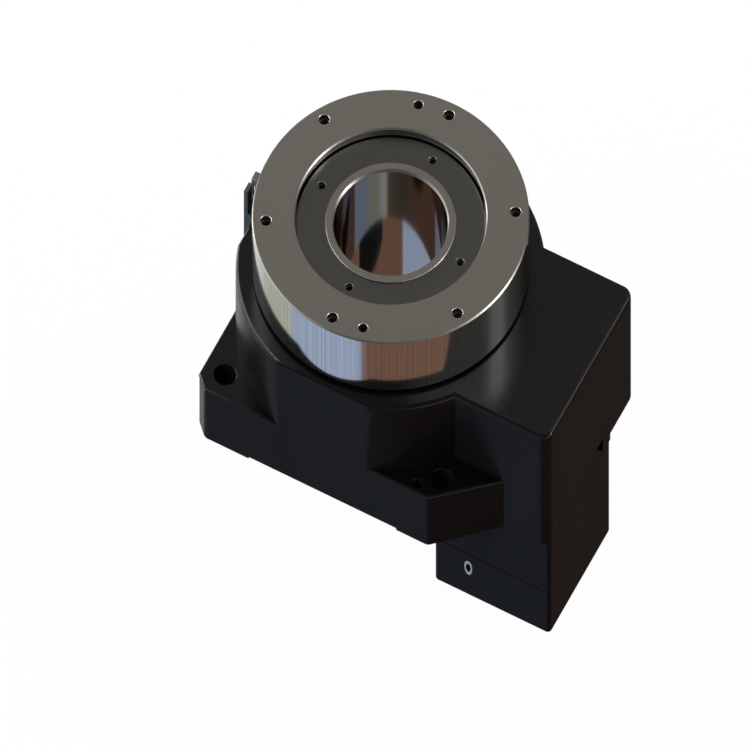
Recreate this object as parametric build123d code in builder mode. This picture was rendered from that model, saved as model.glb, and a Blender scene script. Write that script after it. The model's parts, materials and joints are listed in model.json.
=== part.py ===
from build123d import *
import math
import os

# Hollow rotary platform: a table on a crossed-roller bearing, turned by a spur pinion beside it.
# Millimetres and degrees. The origin is on the table's axis, in the plane of the base pads. +Z is up.

# Base and drum of the housing
SIDE_WALL = 1.7
TABLE_MARGIN = 2.5
DRUM_BULGE = 2.5
HOUSING_TOP_Z = 22.0
EAR_TOP_Z = 9.6
PAD_RELIEF = 0.3
PAD_WIDTH = 19.5
CORNER_CHAMFER = 4.3
FRONT_END_INSET = 8.5
EAR_RUN = 18.0
EAR_EDGE = 0.6
BLOCK_LEDGE = 1.2
BLOCK_FILLET = 3.4
BLOCK_UNDERSIDE_Z = 1.5
HOUSING_EDGE = 1.0
MOUNT_INSET = 7.5
MOUNT_HOLE_D = 7.0
BASE_DOWEL_SIDE_INSET = 13.5
BASE_DOWEL_FRONT_INSET = 2.8
BASE_DOWEL_D = 3.3

# Pry notch at the foot of the gear block's end face
NOTCH_WIDTH = 3.9
NOTCH_HEIGHT = 2.7
NOTCH_DEPTH = 1.5
NOTCH_SETBACK = 5.0

# Rotary table
TABLE_D = 85.0
TABLE_RISE = 10.0
TABLE_GAP = 0.3
TABLE_EDGE = 0.3
TABLE_RECESS_D = 58.7
TABLE_RECESS_DEPTH = 5.0
TABLE_BOLT_INSET = 4.25
TABLE_BOLT_COUNT = 6
TABLE_BOLT_START = 30.0
TABLE_BOLT_D = 3.4
TABLE_DOWEL_D = 3.0
TABLE_DOWEL_START = 105.0
TABLE_HOLE_DEPTH = 8.0

# Crossed-roller bearing
BEARING_OD = 80.0
BEARING_ID = 62.0
BEARING_WIDTH = 9.0
BEARING_LIP = 2.0
BEARING_LIP_REACH = 3.0
RACE_GAP = 0.4
ROLLER_D = 4.0
ROLLER_COUNT = 30
ROLLER_PLAY = 0.05
ROLLER_END_PLAY = 0.15
SPACER_SIDE = 3.0
SPACER_PLAY = 0.15
SNAP_RING_THICKNESS = 1.2
SNAP_RING_GROOVE = 1.0
SNAP_RING_HEIGHT = 2.6
SNAP_RING_OPENING = 12.0
SEAL_NECK_GAP = 0.25
TABLE_NECK_STEP = 0.3
SEAL_SETBACK = 0.2

# Gear pair
MODULE = 0.8
GEAR_TEETH = 105
PINION_TEETH = 21
PRESSURE_ANGLE = 20.0
DEDENDUM = 1.25
BACKLASH = 0.1
PINION_ANGLE = -9.09
GEAR_FACE = 5.0
GEAR_BOSS_HEIGHT = 2.5
GEAR_BOSS_STEP = 0.5
CAVITY_GAP = 0.5
PINION_OVERHANG = 0.5

# Centre tube, inner flange and bottom cover
TUBE_BORE_D = 35.0
TUBE_RIM_D = 40.0
TUBE_SHOULDER = 0.8
TUBE_EDGE = 0.4
TUBE_RIM_RISE = 0.25
TUBE_FOOT_WIDTH = 4.2
TUBE_FOOT_THICKNESS = 1.5
HUB_CLEARANCE = 0.7
INNER_FLANGE_DROP = 1.5
INNER_FLANGE_GAP = 0.5
INNER_FLANGE_LIFT = 0.4
INNER_FLANGE_BOLT_INSET = 4.1
INNER_FLANGE_BOLT_COUNT = 4
INNER_FLANGE_BOLT_START = -3.3
INNER_FLANGE_BOLT_D = 2.5
COVER_THICKNESS = 2.5
COVER_GAP = 0.15
COVER_TAB_RADIUS = 2.6
COVER_TAB_OUTSET = 2.5
COVER_TAB_ANGLE = 55.0
COVER_SCREW_LENGTH = 6.0

# Motor side
ADAPTER_WIDTH = 40.0
ADAPTER_THICKNESS = 9.7
MOTOR_FLANGE_THICKNESS = 8.1
ADAPTER_FILLET = 1.4
MOTOR_PILOT_D = 30.0
MOTOR_PILOT_DEPTH = 3.0
MOTOR_BOLT_PITCH = 32.5
MOTOR_BOLT_D = 3.3
MOTOR_SHAFT_D = 8.0
MOTOR_SHAFT_DEPTH = 20.0
COLLAR_D = 24.0
COLLAR_HEIGHT = 4.8
COLLAR_BORE_D = 13.0
COLLAR_GAP = 0.4
COLLAR_SLIT = 1.2
COLLAR_ROOM = 0.65
CLAMP_OFFSET = 8.2
CLAMP_SEAT = 5.5
CLAMP_SCREW_LENGTH = 12.0
SHAFT_SLIT = 1.0
PLUG_D = 2.9
PLUG_LENGTH = 5.0
PLUG_SOCKET = 1.5
PLUG_SOCKET_DEPTH = 1.5

# Pinion bearings, seal and circlip
UPPER_BEARING_ID = 8.0
UPPER_BEARING_OD = 16.0
UPPER_ROLLER_D = 2.2
UPPER_ROLLER_COUNT = 11
LOWER_BEARING_ID = 17.0
LOWER_BEARING_OD = 26.0
LOWER_ROLLER_D = 2.6
LOWER_ROLLER_COUNT = 16
PINION_BEARING_WIDTH = 5.0
PINION_ROLLER_LENGTH = 3.4
PINION_ROLLER_PLAY = 0.05
PINION_FLANGE_REACH = 0.7
LOWER_BEARING_DROP = 0.2
LOWER_LIP_THICKNESS = 1.0
LOWER_LIP_REACH = 2.0
SHAFT_SEAL_D = 24.0
SHAFT_SEAL_GAP = 0.05
SHAFT_SEAL_INSET = 0.2
PINION_COLLAR_RISE = 2.5
PINION_COLLAR_STEP = 1.5
PINION_END_LENGTH = 1.5
CIRCLIP_THICKNESS = 0.8
CIRCLIP_GROOVE = 0.3
CIRCLIP_HEIGHT = 1.9
CIRCLIP_OPENING = 3.0
CIRCLIP_ROOM = 1.0

# Home sensor and flag on the left flat
SENSOR_Y = -1.5
SENSOR_WIDTH = 3.4
SENSOR_REACH = 4.2
SENSOR_TOP_RISE = 3.0
SENSOR_SLOT_FLOOR_DROP = 1.4
SENSOR_SLOT_WIDTH = 1.6
SENSOR_SLOT_OFFSET = 2.1
SENSOR_BODY_HEIGHT = 5.2
SENSOR_LUG_HEIGHT = 7.0
SENSOR_LUG_THICKNESS = 2.0
SENSOR_SCREW_SPACING = 3.4
SENSOR_SCREW_D = 1.6
SENSOR_SCREW_LENGTH = 4.0
FLAG_WIDTH = 2.9
FLAG_THICKNESS = 0.8
FLAG_ARM_DROP = 5.0
FLAG_TAB_CLEARANCE = 0.7
FLAG_SEAT_DEPTH = 0.3
FLAG_SEAT_MARGIN = 0.3
FLAG_SCREW_D = 1.6
FLAG_SCREW_LENGTH = 4.0
FLAG_ACCESS_D = 2.0

# Fasteners
GEAR_SCREW_D = 3.0
GEAR_SCREW_COUNT = 6
GEAR_SCREW_LENGTH = 10.0
ADAPTER_SCREW_D = 3.0
ADAPTER_SCREW_LENGTH = 12.0
ADAPTER_SCREW_INSET = 4.6
FLANGE_SCREW_D = 2.5
FLANGE_SCREW_LENGTH = 10.0
FLANGE_SCREW_X = 16.8
FLANGE_SCREW_Y = 7.5
COVER_SCREW_D = 2.5
CLAMP_SCREW_D = 2.5
HEAD_RATIO = 1.8
SOCKET_RATIO = 0.8
SOCKET_DEPTH_RATIO = 0.5
HEAD_ROOM = 0.15
THREAD_GAP = 0.05
HOLE_ALLOWANCE = 1.0

# Heights that follow from the driving dimensions
BEARING_TOP_Z = HOUSING_TOP_Z - BEARING_LIP
BEARING_BOTTOM_Z = BEARING_TOP_Z - BEARING_WIDTH
BEARING_MID_Z = BEARING_TOP_Z - BEARING_WIDTH / 2
TABLE_TOP_Z = HOUSING_TOP_Z + TABLE_RISE
TABLE_UNDER_Z = HOUSING_TOP_Z + TABLE_GAP
RECESS_FLOOR_Z = TABLE_TOP_Z - TABLE_RECESS_DEPTH
GEAR_TOOTH_TOP_Z = BEARING_BOTTOM_Z - GEAR_BOSS_HEIGHT
GEAR_BOTTOM_Z = GEAR_TOOTH_TOP_Z - GEAR_FACE
CAVITY_ROOF_Z = GEAR_TOOTH_TOP_Z + CAVITY_GAP
COVER_TOP_Z = PAD_RELIEF + COVER_THICKNESS
INNER_FLANGE_TOP_Z = TABLE_TOP_Z - INNER_FLANGE_DROP
INNER_FLANGE_BOTTOM_Z = RECESS_FLOOR_Z + INNER_FLANGE_LIFT
TUBE_TOP_Z = INNER_FLANGE_TOP_Z + TUBE_RIM_RISE
ADAPTER_BOTTOM_Z = PAD_RELIEF - ADAPTER_THICKNESS
FLANGE_BOTTOM_Z = ADAPTER_BOTTOM_Z - MOTOR_FLANGE_THICKNESS
COLLAR_TOP_Z = ADAPTER_BOTTOM_Z - COLLAR_GAP
COLLAR_BOTTOM_Z = COLLAR_TOP_Z - COLLAR_HEIGHT
CLAMP_Z = COLLAR_TOP_Z - COLLAR_HEIGHT / 2
LOWER_BEARING_TOP_Z = PAD_RELIEF - LOWER_BEARING_DROP
LOWER_BEARING_BOTTOM_Z = LOWER_BEARING_TOP_Z - PINION_BEARING_WIDTH
SHAFT_SEAL_TOP_Z = LOWER_BEARING_BOTTOM_Z - LOWER_LIP_THICKNESS
PINION_TOP_Z = GEAR_TOOTH_TOP_Z + PINION_OVERHANG
PINION_BOTTOM_Z = GEAR_BOTTOM_Z - PINION_OVERHANG
UPPER_BEARING_BOTTOM_Z = PINION_TOP_Z + PINION_COLLAR_RISE
UPPER_BEARING_TOP_Z = UPPER_BEARING_BOTTOM_Z + PINION_BEARING_WIDTH
CIRCLIP_TOP_Z = UPPER_BEARING_TOP_Z + CIRCLIP_THICKNESS
SHAFT_TOP_Z = CIRCLIP_TOP_Z + PINION_END_LENGTH

# Radii and places that follow from the driving dimensions
GEAR_PITCH_R = MODULE * GEAR_TEETH / 2
PINION_PITCH_R = MODULE * PINION_TEETH / 2
CENTRE_DISTANCE = GEAR_PITCH_R + PINION_PITCH_R
PINION_X = CENTRE_DISTANCE * math.cos(math.radians(PINION_ANGLE))
PINION_Y = CENTRE_DISTANCE * math.sin(math.radians(PINION_ANGLE))
CAVITY_R = GEAR_PITCH_R + MODULE + CAVITY_GAP
BASE_HALF = max(CAVITY_R + SIDE_WALL, TABLE_D / 2 + TABLE_MARGIN)
DRUM_R = BASE_HALF + DRUM_BULGE
PAD_INNER_X = BASE_HALF - PAD_WIDTH
FRONT_END_X = BASE_HALF - FRONT_END_INSET
MOUNT_PITCH = 2 * (BASE_HALF - MOUNT_INSET)
BASE_DOWEL_X = BASE_HALF - BASE_DOWEL_SIDE_INSET
BASE_DOWEL_Y = BASE_HALF - BASE_DOWEL_FRONT_INSET
TABLE_PCD = TABLE_D - 2 * TABLE_BOLT_INSET
INNER_FLANGE_R = TABLE_RECESS_D / 2 - INNER_FLANGE_GAP
INNER_FLANGE_PCD = 2 * (INNER_FLANGE_R - INNER_FLANGE_BOLT_INSET)
CLAMP_HEAD_CORNER_R = math.hypot(CLAMP_OFFSET + HEAD_RATIO * CLAMP_SCREW_D / 2, CLAMP_SEAT + CLAMP_SCREW_D)
COLLAR_CAVITY_R = max(COLLAR_D / 2, CLAMP_HEAD_CORNER_R) + COLLAR_ROOM
BLOCK_END_X = PINION_X + ADAPTER_WIDTH / 2
ADAPTER_FRONT_Y = PINION_Y - ADAPTER_WIDTH / 2
ADAPTER_BACK_Y = PINION_Y + ADAPTER_WIDTH / 2
BLOCK_FRONT = BLOCK_LEDGE - ADAPTER_FRONT_Y
BLOCK_BACK = -ADAPTER_FRONT_Y
PINION_TIP_R = PINION_PITCH_R + MODULE
PINION_POCKET_R = PINION_TIP_R + CAVITY_GAP
BEARING_MEAN_R = (BEARING_OD + BEARING_ID) / 4
INNER_RACE_R = BEARING_MEAN_R - RACE_GAP / 2
OUTER_RACE_R = BEARING_MEAN_R + RACE_GAP / 2
GROOVE_REACH = (ROLLER_D / 2 + ROLLER_PLAY) * math.sqrt(2)
TABLE_NECK_R = INNER_RACE_R - TABLE_NECK_STEP
LIP_R = BEARING_OD / 2 - BEARING_LIP_REACH
TUBE_R = TUBE_RIM_D / 2 + TUBE_SHOULDER
TUBE_FOOT_R = TUBE_R + TUBE_FOOT_WIDTH
HUB_BORE_R = TUBE_R + HUB_CLEARANCE
GEAR_SCREW_R = (HUB_BORE_R + BEARING_ID / 2) / 2
COVER_R = CAVITY_R - COVER_GAP
COVER_SCREW_R = CAVITY_R + COVER_TAB_OUTSET
COVER_NOTCH_R = LOWER_BEARING_OD / 2 + CAVITY_GAP
SENSOR_SLOT_X = -BASE_HALF - SENSOR_SLOT_OFFSET
SENSOR_FLOOR_Z = HOUSING_TOP_Z - SENSOR_SLOT_FLOOR_DROP
SENSOR_BODY_Z = SENSOR_FLOOR_Z - SENSOR_BODY_HEIGHT
SENSOR_LUG_Z = SENSOR_BODY_Z - SENSOR_LUG_HEIGHT
FLAG_SEAT_X = -TABLE_D / 2 + FLAG_SEAT_DEPTH
FLAG_ARM_TOP_Z = TABLE_TOP_Z - FLAG_ARM_DROP
FLAG_ARM_Z = FLAG_ARM_TOP_Z - FLAG_THICKNESS
FLAG_TIP_Z = HOUSING_TOP_Z + FLAG_TAB_CLEARANCE
FLAG_FOOT_Z = TABLE_UNDER_Z + TABLE_EDGE + FLAG_SEAT_MARGIN
FLAG_SCREW_Z = (FLAG_FOOT_Z + FLAG_ARM_Z) / 2
ADAPTER_SCREW_CORNER = ADAPTER_WIDTH / 2 - ADAPTER_SCREW_INSET
INNER_SCREW_X = CAVITY_R + ADAPTER_SCREW_D + HOLE_ALLOWANCE - PINION_X

DOWN = (180, 0, 0)
FACING_LEFT = (0, -90, 0)
FACING_FRONT = (90, 0, 0)
BOTTOM = (Align.CENTER, Align.CENTER, Align.MIN)
TOP = (Align.CENTER, Align.CENTER, Align.MAX)


def save(piece, name):
    """Labels a finished piece and writes it."""
    piece.part.label = name
    export_step(piece.part, f"parts/{name}.step")


def tooth_half_angle(radius, pitch_r):
    """Half of a tooth's angle at a radius, in radians, from the involute of the pitch circle."""
    base_r = pitch_r * math.cos(math.radians(PRESSURE_ANGLE))
    roll = math.acos(min(1.0, base_r / radius))
    pressure = math.radians(PRESSURE_ANGLE)
    thickness = math.pi * MODULE / 2 - BACKLASH
    return thickness / (2 * pitch_r) + math.tan(pressure) - pressure - math.tan(roll) + roll


def gear_outline(teeth, first_angle, flank_steps):
    """Points round a spur gear's teeth, with one tooth centred on first_angle."""
    pitch_r = MODULE * teeth / 2
    root_r = pitch_r - DEDENDUM * MODULE
    tip_r = pitch_r + MODULE
    radii = [root_r + (tip_r - root_r) * step / flank_steps for step in range(flank_steps + 1)]
    points = []
    for tooth in range(teeth):
        middle = math.radians(first_angle) + 2 * math.pi * tooth / teeth
        rising = [(radius, middle - tooth_half_angle(radius, pitch_r)) for radius in radii]
        falling = [(radius, middle + tooth_half_angle(radius, pitch_r)) for radius in reversed(radii)]
        points += [(r * math.cos(a), r * math.sin(a)) for r, a in rising + falling]
    return points


def turned(profile, centre=(0, 0)):
    """A ring turned about an upright axis, from (radius, height) points."""
    origin = (*centre, 0)
    with BuildPart() as ring:
        with BuildSketch(Plane(origin, x_dir=(1, 0, 0), z_dir=(0, -1, 0))):
            with BuildLine():
                Polyline(*profile, close=True)
            make_face()
        revolve(axis=Axis(origin, (0, 0, 1)))
    return ring


def cap_screws(seats, thread_d, length):
    """Socket-head cap screws whose heads stand on the given seats."""
    head_r = HEAD_RATIO * thread_d / 2
    with BuildPart() as screws:
        with Locations(*seats):
            Cylinder(head_r, thread_d, align=BOTTOM)
            Cylinder(thread_d / 2 - THREAD_GAP, length, align=TOP)
        for seat in seats:
            with BuildSketch(Plane(seat).offset(thread_d)):
                RegularPolygon(SOCKET_RATIO * thread_d / 2, 6, major_radius=False)
            extrude(amount=-SOCKET_DEPTH_RATIO * thread_d, mode=Mode.SUBTRACT)
    return screws


def head_pocket(thread_d):
    """Radius of the counterbore that takes a cap screw's head."""
    return HEAD_RATIO * thread_d / 2 + HEAD_ROOM


def split_ring(inner_r, outer_r, bottom_z, thickness, opening, centre, gap_angle):
    """A flat spring ring with an opening, for a groove."""
    with BuildPart() as ring:
        with BuildSketch(Plane.XY.offset(bottom_z)):
            with Locations(centre):
                Circle(outer_r)
                Circle(inner_r, mode=Mode.SUBTRACT)
            with Locations(Location(centre, gap_angle)):
                Rectangle(2 * outer_r, opening, align=(Align.MIN, Align.CENTER), mode=Mode.SUBTRACT)
        extrude(amount=thickness)
    return ring


def pinion_inner_ring(inner_r, outer_r, bottom_z):
    """The plain inner ring of a pinion bearing."""
    top_z = bottom_z + PINION_BEARING_WIDTH
    profile = [(inner_r, bottom_z), (outer_r, bottom_z), (outer_r, top_z), (inner_r, top_z)]
    return turned(profile, (PINION_X, PINION_Y))


def pinion_outer_ring(track_r, outer_r, bottom_z):
    """The outer ring of a pinion bearing, with a flange at each end of the roller track."""
    top_z = bottom_z + PINION_BEARING_WIDTH
    middle_z = bottom_z + PINION_BEARING_WIDTH / 2
    half_track = PINION_ROLLER_LENGTH / 2 + PINION_ROLLER_PLAY
    flange_r = track_r - PINION_FLANGE_REACH
    profile = [
        (outer_r, bottom_z),
        (outer_r, top_z),
        (flange_r, top_z),
        (flange_r, middle_z + half_track),
        (track_r, middle_z + half_track),
        (track_r, middle_z - half_track),
        (flange_r, middle_z - half_track),
        (flange_r, bottom_z),
    ]
    return turned(profile, (PINION_X, PINION_Y))


def pinion_rollers(mean_r, bottom_z, roller_d, count):
    """The rollers of a pinion bearing."""
    with BuildPart() as group:
        with Locations((PINION_X, PINION_Y, bottom_z + PINION_BEARING_WIDTH / 2)):
            with PolarLocations(mean_r, count):
                Cylinder(roller_d / 2, PINION_ROLLER_LENGTH)
    return group


def cover_tabs(radius):
    """Adds the round-ended screw tabs of the bottom cover to a sketch."""
    for angle in COVER_TABS:
        with Locations(Location((0, 0), angle)):
            Rectangle(COVER_SCREW_R, 2 * radius, align=(Align.MIN, Align.CENTER))
    with Locations(*COVER_TAB_SPOTS):
        Circle(radius)


def side_outline(block_reach, side):
    """One side of the base plate and gear block seen from above, from the left end to the right."""
    half_outline = [
        (-BASE_HALF, BASE_HALF - CORNER_CHAMFER),
        (-BASE_HALF + CORNER_CHAMFER, BASE_HALF),
        (FRONT_END_X, BASE_HALF),
        (FRONT_END_X + EAR_RUN, block_reach),
        (BLOCK_END_X, block_reach),
    ]
    return [(x, side * y) for x, y in half_outline]


os.makedirs("parts", exist_ok=True)

# Outline of the base plate and gear block, seen from above
OUTLINE = side_outline(BLOCK_FRONT, -1) + side_outline(BLOCK_BACK, 1)[::-1]

COVER_TABS = [sign * COVER_TAB_ANGLE + turn for sign, turn in ((1, 0), (-1, 0), (1, 180), (-1, 180))]
COVER_TAB_SPOTS = [
    (COVER_SCREW_R * math.cos(math.radians(a)), COVER_SCREW_R * math.sin(math.radians(a)))
    for a in COVER_TABS
]
ADAPTER_SCREW_SPOTS = [
    (PINION_X + x, PINION_Y + y)
    for x in (INNER_SCREW_X, ADAPTER_SCREW_CORNER)
    for y in (-ADAPTER_SCREW_CORNER, ADAPTER_SCREW_CORNER)
]
FLANGE_SCREW_SPOTS = [
    (PINION_X + x, PINION_Y + y)
    for x in (-FLANGE_SCREW_X, FLANGE_SCREW_X)
    for y in (-FLANGE_SCREW_Y, FLANGE_SCREW_Y)
]
SENSOR_SCREW_SPOTS = [
    SENSOR_LUG_Z + SENSOR_LUG_HEIGHT / 2 + side * SENSOR_SCREW_SPACING / 2 for side in (-1, 1)
]

# Housing: drum and gear block on the base plate, with the gear cavity and the bearing seat
with BuildPart() as housing:
    with BuildSketch():
        with BuildLine():
            Polyline(*OUTLINE, close=True)
        make_face()
    extrude(amount=EAR_TOP_Z)
    fillet(housing.faces().sort_by(Axis.Z)[-1].edges(), EAR_EDGE)
    with BuildSketch():
        Circle(DRUM_R)
        with BuildLine():
            Polyline(*OUTLINE, close=True)
        make_face(mode=Mode.INTERSECT)
        with Locations((0, -BLOCK_FRONT)):
            Rectangle(BLOCK_END_X, BLOCK_FRONT + BLOCK_BACK, align=(Align.MIN, Align.MIN))
    extrude(amount=HOUSING_TOP_Z)
    fillet(housing.edges().filter_by(Axis.Z).group_by(Axis.X)[-1], BLOCK_FILLET)
    fillet(housing.faces().sort_by(Axis.Z)[-1].edges(), HOUSING_EDGE)
    with BuildSketch(Plane.XZ):
        with BuildLine():
            Polyline(
                (0, 0),
                (CAVITY_R, 0),
                (CAVITY_R, CAVITY_ROOF_Z),
                (BEARING_OD / 2, CAVITY_ROOF_Z),
                (BEARING_OD / 2, BEARING_BOTTOM_Z - SNAP_RING_THICKNESS),
                (BEARING_OD / 2 + SNAP_RING_GROOVE, BEARING_BOTTOM_Z - SNAP_RING_THICKNESS),
                (BEARING_OD / 2 + SNAP_RING_GROOVE, BEARING_BOTTOM_Z),
                (BEARING_OD / 2, BEARING_BOTTOM_Z),
                (BEARING_OD / 2, BEARING_TOP_Z),
                (LIP_R, BEARING_TOP_Z),
                (LIP_R, HOUSING_TOP_Z),
                (0, HOUSING_TOP_Z),
                close=True,
            )
        make_face()
    revolve(axis=Axis.Z, mode=Mode.SUBTRACT)
    # Pinion pocket, its upper bearing's seat and room for the circlip above
    with Locations((PINION_X, PINION_Y, 0)):
        Cylinder(PINION_POCKET_R, CAVITY_ROOF_Z, align=BOTTOM, mode=Mode.SUBTRACT)
        Cylinder(UPPER_BEARING_OD / 2, UPPER_BEARING_TOP_Z, align=BOTTOM, mode=Mode.SUBTRACT)
        room_top = SHAFT_TOP_Z + CAVITY_GAP
        room_r = UPPER_BEARING_OD / 2 - CIRCLIP_ROOM
        Cylinder(room_r, room_top, align=BOTTOM, mode=Mode.SUBTRACT)
    # Relief between the corner pads, and the step under the overhanging end of the block
    with BuildSketch():
        Rectangle(2 * PAD_INNER_X, 2 * BASE_HALF)
        Rectangle(2 * BLOCK_END_X, 2 * (BLOCK_FRONT + PAD_RELIEF))
        with Locations((BASE_HALF, 0)):
            Rectangle(BLOCK_END_X, 2 * BASE_HALF, align=(Align.MIN, Align.CENTER))
    extrude(amount=PAD_RELIEF, mode=Mode.SUBTRACT)
    with BuildSketch():
        with Locations((BASE_HALF, ADAPTER_BACK_Y)):
            Rectangle(BLOCK_END_X, BASE_HALF, align=(Align.MIN, Align.MIN))
    extrude(amount=BLOCK_UNDERSIDE_Z, mode=Mode.SUBTRACT)
    # Recess of the bottom cover, with its four screw tabs
    with BuildSketch():
        cover_tabs(COVER_TAB_RADIUS + COVER_GAP)
    extrude(amount=COVER_TOP_Z, mode=Mode.SUBTRACT)
    with Locations(*COVER_TAB_SPOTS):
        depth = PAD_RELIEF + COVER_SCREW_LENGTH + HOLE_ALLOWANCE
        Cylinder(COVER_SCREW_D / 2, depth, align=BOTTOM, mode=Mode.SUBTRACT)
    with GridLocations(MOUNT_PITCH, MOUNT_PITCH, 2, 2):
        Cylinder(MOUNT_HOLE_D / 2, EAR_TOP_Z, align=BOTTOM, mode=Mode.SUBTRACT)
    with Locations((BASE_DOWEL_X, -BASE_DOWEL_Y), (-BASE_DOWEL_X, BASE_DOWEL_Y)):
        Cylinder(BASE_DOWEL_D / 2, EAR_TOP_Z, align=BOTTOM, mode=Mode.SUBTRACT)
    with Locations(*ADAPTER_SCREW_SPOTS):
        Cylinder(ADAPTER_SCREW_D / 2, ADAPTER_SCREW_LENGTH, align=BOTTOM, mode=Mode.SUBTRACT)
    for screw_z in SENSOR_SCREW_SPOTS:
        with Locations(Location((-BASE_HALF, SENSOR_Y, screw_z), FACING_LEFT)):
            Cylinder(SENSOR_SCREW_D / 2, SENSOR_SCREW_LENGTH, align=TOP, mode=Mode.SUBTRACT)
    notch_y = ADAPTER_BACK_Y - NOTCH_SETBACK
    with BuildSketch(Plane.YZ.offset(BLOCK_END_X)):
        with BuildLine():
            Polyline(
                (notch_y, PAD_RELIEF),
                (notch_y, PAD_RELIEF + NOTCH_HEIGHT),
                (notch_y - NOTCH_WIDTH, PAD_RELIEF + NOTCH_HEIGHT),
                close=True,
            )
        make_face()
    extrude(amount=-NOTCH_DEPTH, mode=Mode.SUBTRACT)
save(housing, "housing")

# Rotary table: flanged ring, its neck on the inner race and the hub through the bearing
with BuildPart() as rotary_table:
    with BuildSketch(Plane.XZ):
        with BuildLine():
            Polyline(
                (HUB_BORE_R, BEARING_BOTTOM_Z),
                (BEARING_ID / 2, BEARING_BOTTOM_Z),
                (BEARING_ID / 2, BEARING_TOP_Z),
                (TABLE_NECK_R, BEARING_TOP_Z),
                (TABLE_NECK_R, TABLE_UNDER_Z),
                (TABLE_D / 2 - TABLE_EDGE, TABLE_UNDER_Z),
                (TABLE_D / 2, TABLE_UNDER_Z + TABLE_EDGE),
                (TABLE_D / 2, TABLE_TOP_Z - TABLE_EDGE),
                (TABLE_D / 2 - TABLE_EDGE, TABLE_TOP_Z),
                (TABLE_RECESS_D / 2 + TABLE_EDGE, TABLE_TOP_Z),
                (TABLE_RECESS_D / 2, TABLE_TOP_Z - TABLE_EDGE),
                (TABLE_RECESS_D / 2, RECESS_FLOOR_Z),
                (HUB_BORE_R, RECESS_FLOOR_Z),
                close=True,
            )
        make_face()
    revolve(axis=Axis.Z)
    with Locations((0, 0, TABLE_TOP_Z)):
        with PolarLocations(TABLE_PCD / 2, TABLE_BOLT_COUNT, TABLE_BOLT_START):
            Cylinder(TABLE_BOLT_D / 2, TABLE_HOLE_DEPTH, align=TOP, mode=Mode.SUBTRACT)
        with PolarLocations(TABLE_PCD / 2, 2, TABLE_DOWEL_START):
            Cylinder(TABLE_DOWEL_D / 2, TABLE_HOLE_DEPTH, align=TOP, mode=Mode.SUBTRACT)
    with Locations((0, 0, BEARING_BOTTOM_Z)):
        with PolarLocations(GEAR_SCREW_R, GEAR_SCREW_COUNT):
            Cylinder(GEAR_SCREW_D / 2, GEAR_SCREW_LENGTH, align=BOTTOM, mode=Mode.SUBTRACT)
    # Small flat that seats the sensor flag, with its screw hole
    with Locations((FLAG_SEAT_X, 0, FLAG_FOOT_Z - FLAG_SEAT_MARGIN)):
        Box(
            TABLE_D,
            FLAG_WIDTH + 2 * FLAG_SEAT_MARGIN,
            FLAG_ARM_TOP_Z - FLAG_FOOT_Z + 2 * FLAG_SEAT_MARGIN,
            align=(Align.MAX, Align.CENTER, Align.MIN),
            mode=Mode.SUBTRACT,
        )
    with Locations(Location((FLAG_SEAT_X, 0, FLAG_SCREW_Z), FACING_LEFT)):
        Cylinder(FLAG_SCREW_D / 2, FLAG_SCREW_LENGTH, align=TOP, mode=Mode.SUBTRACT)
save(rotary_table, "rotary_table")

# Crossed-roller bearing: one inner ring, a split outer ring, and rollers that cross in the V grooves
bearing_inner_ring = turned(
    [
        (BEARING_ID / 2, BEARING_BOTTOM_Z),
        (INNER_RACE_R, BEARING_BOTTOM_Z),
        (INNER_RACE_R, BEARING_MID_Z - GROOVE_REACH + RACE_GAP / 2),
        (BEARING_MEAN_R - GROOVE_REACH, BEARING_MID_Z),
        (INNER_RACE_R, BEARING_MID_Z + GROOVE_REACH - RACE_GAP / 2),
        (INNER_RACE_R, BEARING_TOP_Z),
        (BEARING_ID / 2, BEARING_TOP_Z),
    ]
)
save(bearing_inner_ring, "bearing_inner_ring")

for half, end_z, side in (("upper", BEARING_TOP_Z, 1), ("lower", BEARING_BOTTOM_Z, -1)):
    outer_half = turned(
        [
            (BEARING_OD / 2, BEARING_MID_Z),
            (BEARING_MEAN_R + GROOVE_REACH, BEARING_MID_Z),
            (OUTER_RACE_R, BEARING_MID_Z + side * (GROOVE_REACH - RACE_GAP / 2)),
            (OUTER_RACE_R, end_z),
            (BEARING_OD / 2, end_z),
        ]
    )
    save(outer_half, f"bearing_outer_ring_{half}")

ROLLER_STEP = 360 / ROLLER_COUNT
SPACER_LENGTH = 2 * BEARING_MEAN_R * math.sin(math.radians(ROLLER_STEP / 2)) - ROLLER_D - 2 * SPACER_PLAY
with BuildPart() as bearing_rollers:
    for roller in range(ROLLER_COUNT):
        lean = 45 if roller % 2 else -45
        spoke = Plane.XY.rotated((0, 0, roller * ROLLER_STEP)).offset(BEARING_MID_Z)
        with Locations(spoke.location * Location((BEARING_MEAN_R, 0, 0), (0, lean, 0))):
            Cylinder(ROLLER_D / 2, ROLLER_D - 2 * ROLLER_END_PLAY)
save(bearing_rollers, "bearing_rollers")

with BuildPart() as bearing_spacers:
    for spacer in range(ROLLER_COUNT):
        spoke = Plane.XY.rotated((0, 0, (spacer + 0.5) * ROLLER_STEP)).offset(BEARING_MID_Z)
        with Locations(spoke.location * Location((BEARING_MEAN_R, 0, 0), (0, 45, 0))):
            Box(SPACER_SIDE, SPACER_LENGTH, SPACER_SIDE)
save(bearing_spacers, "bearing_spacers")

GROOVE_R = BEARING_OD / 2 + SNAP_RING_GROOVE
bearing_snap_ring = split_ring(
    GROOVE_R - SNAP_RING_HEIGHT,
    GROOVE_R,
    BEARING_BOTTOM_Z - SNAP_RING_THICKNESS,
    SNAP_RING_THICKNESS,
    SNAP_RING_OPENING,
    (0, 0),
    PINION_ANGLE + 180,
)
save(bearing_snap_ring, "bearing_snap_ring")

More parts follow.
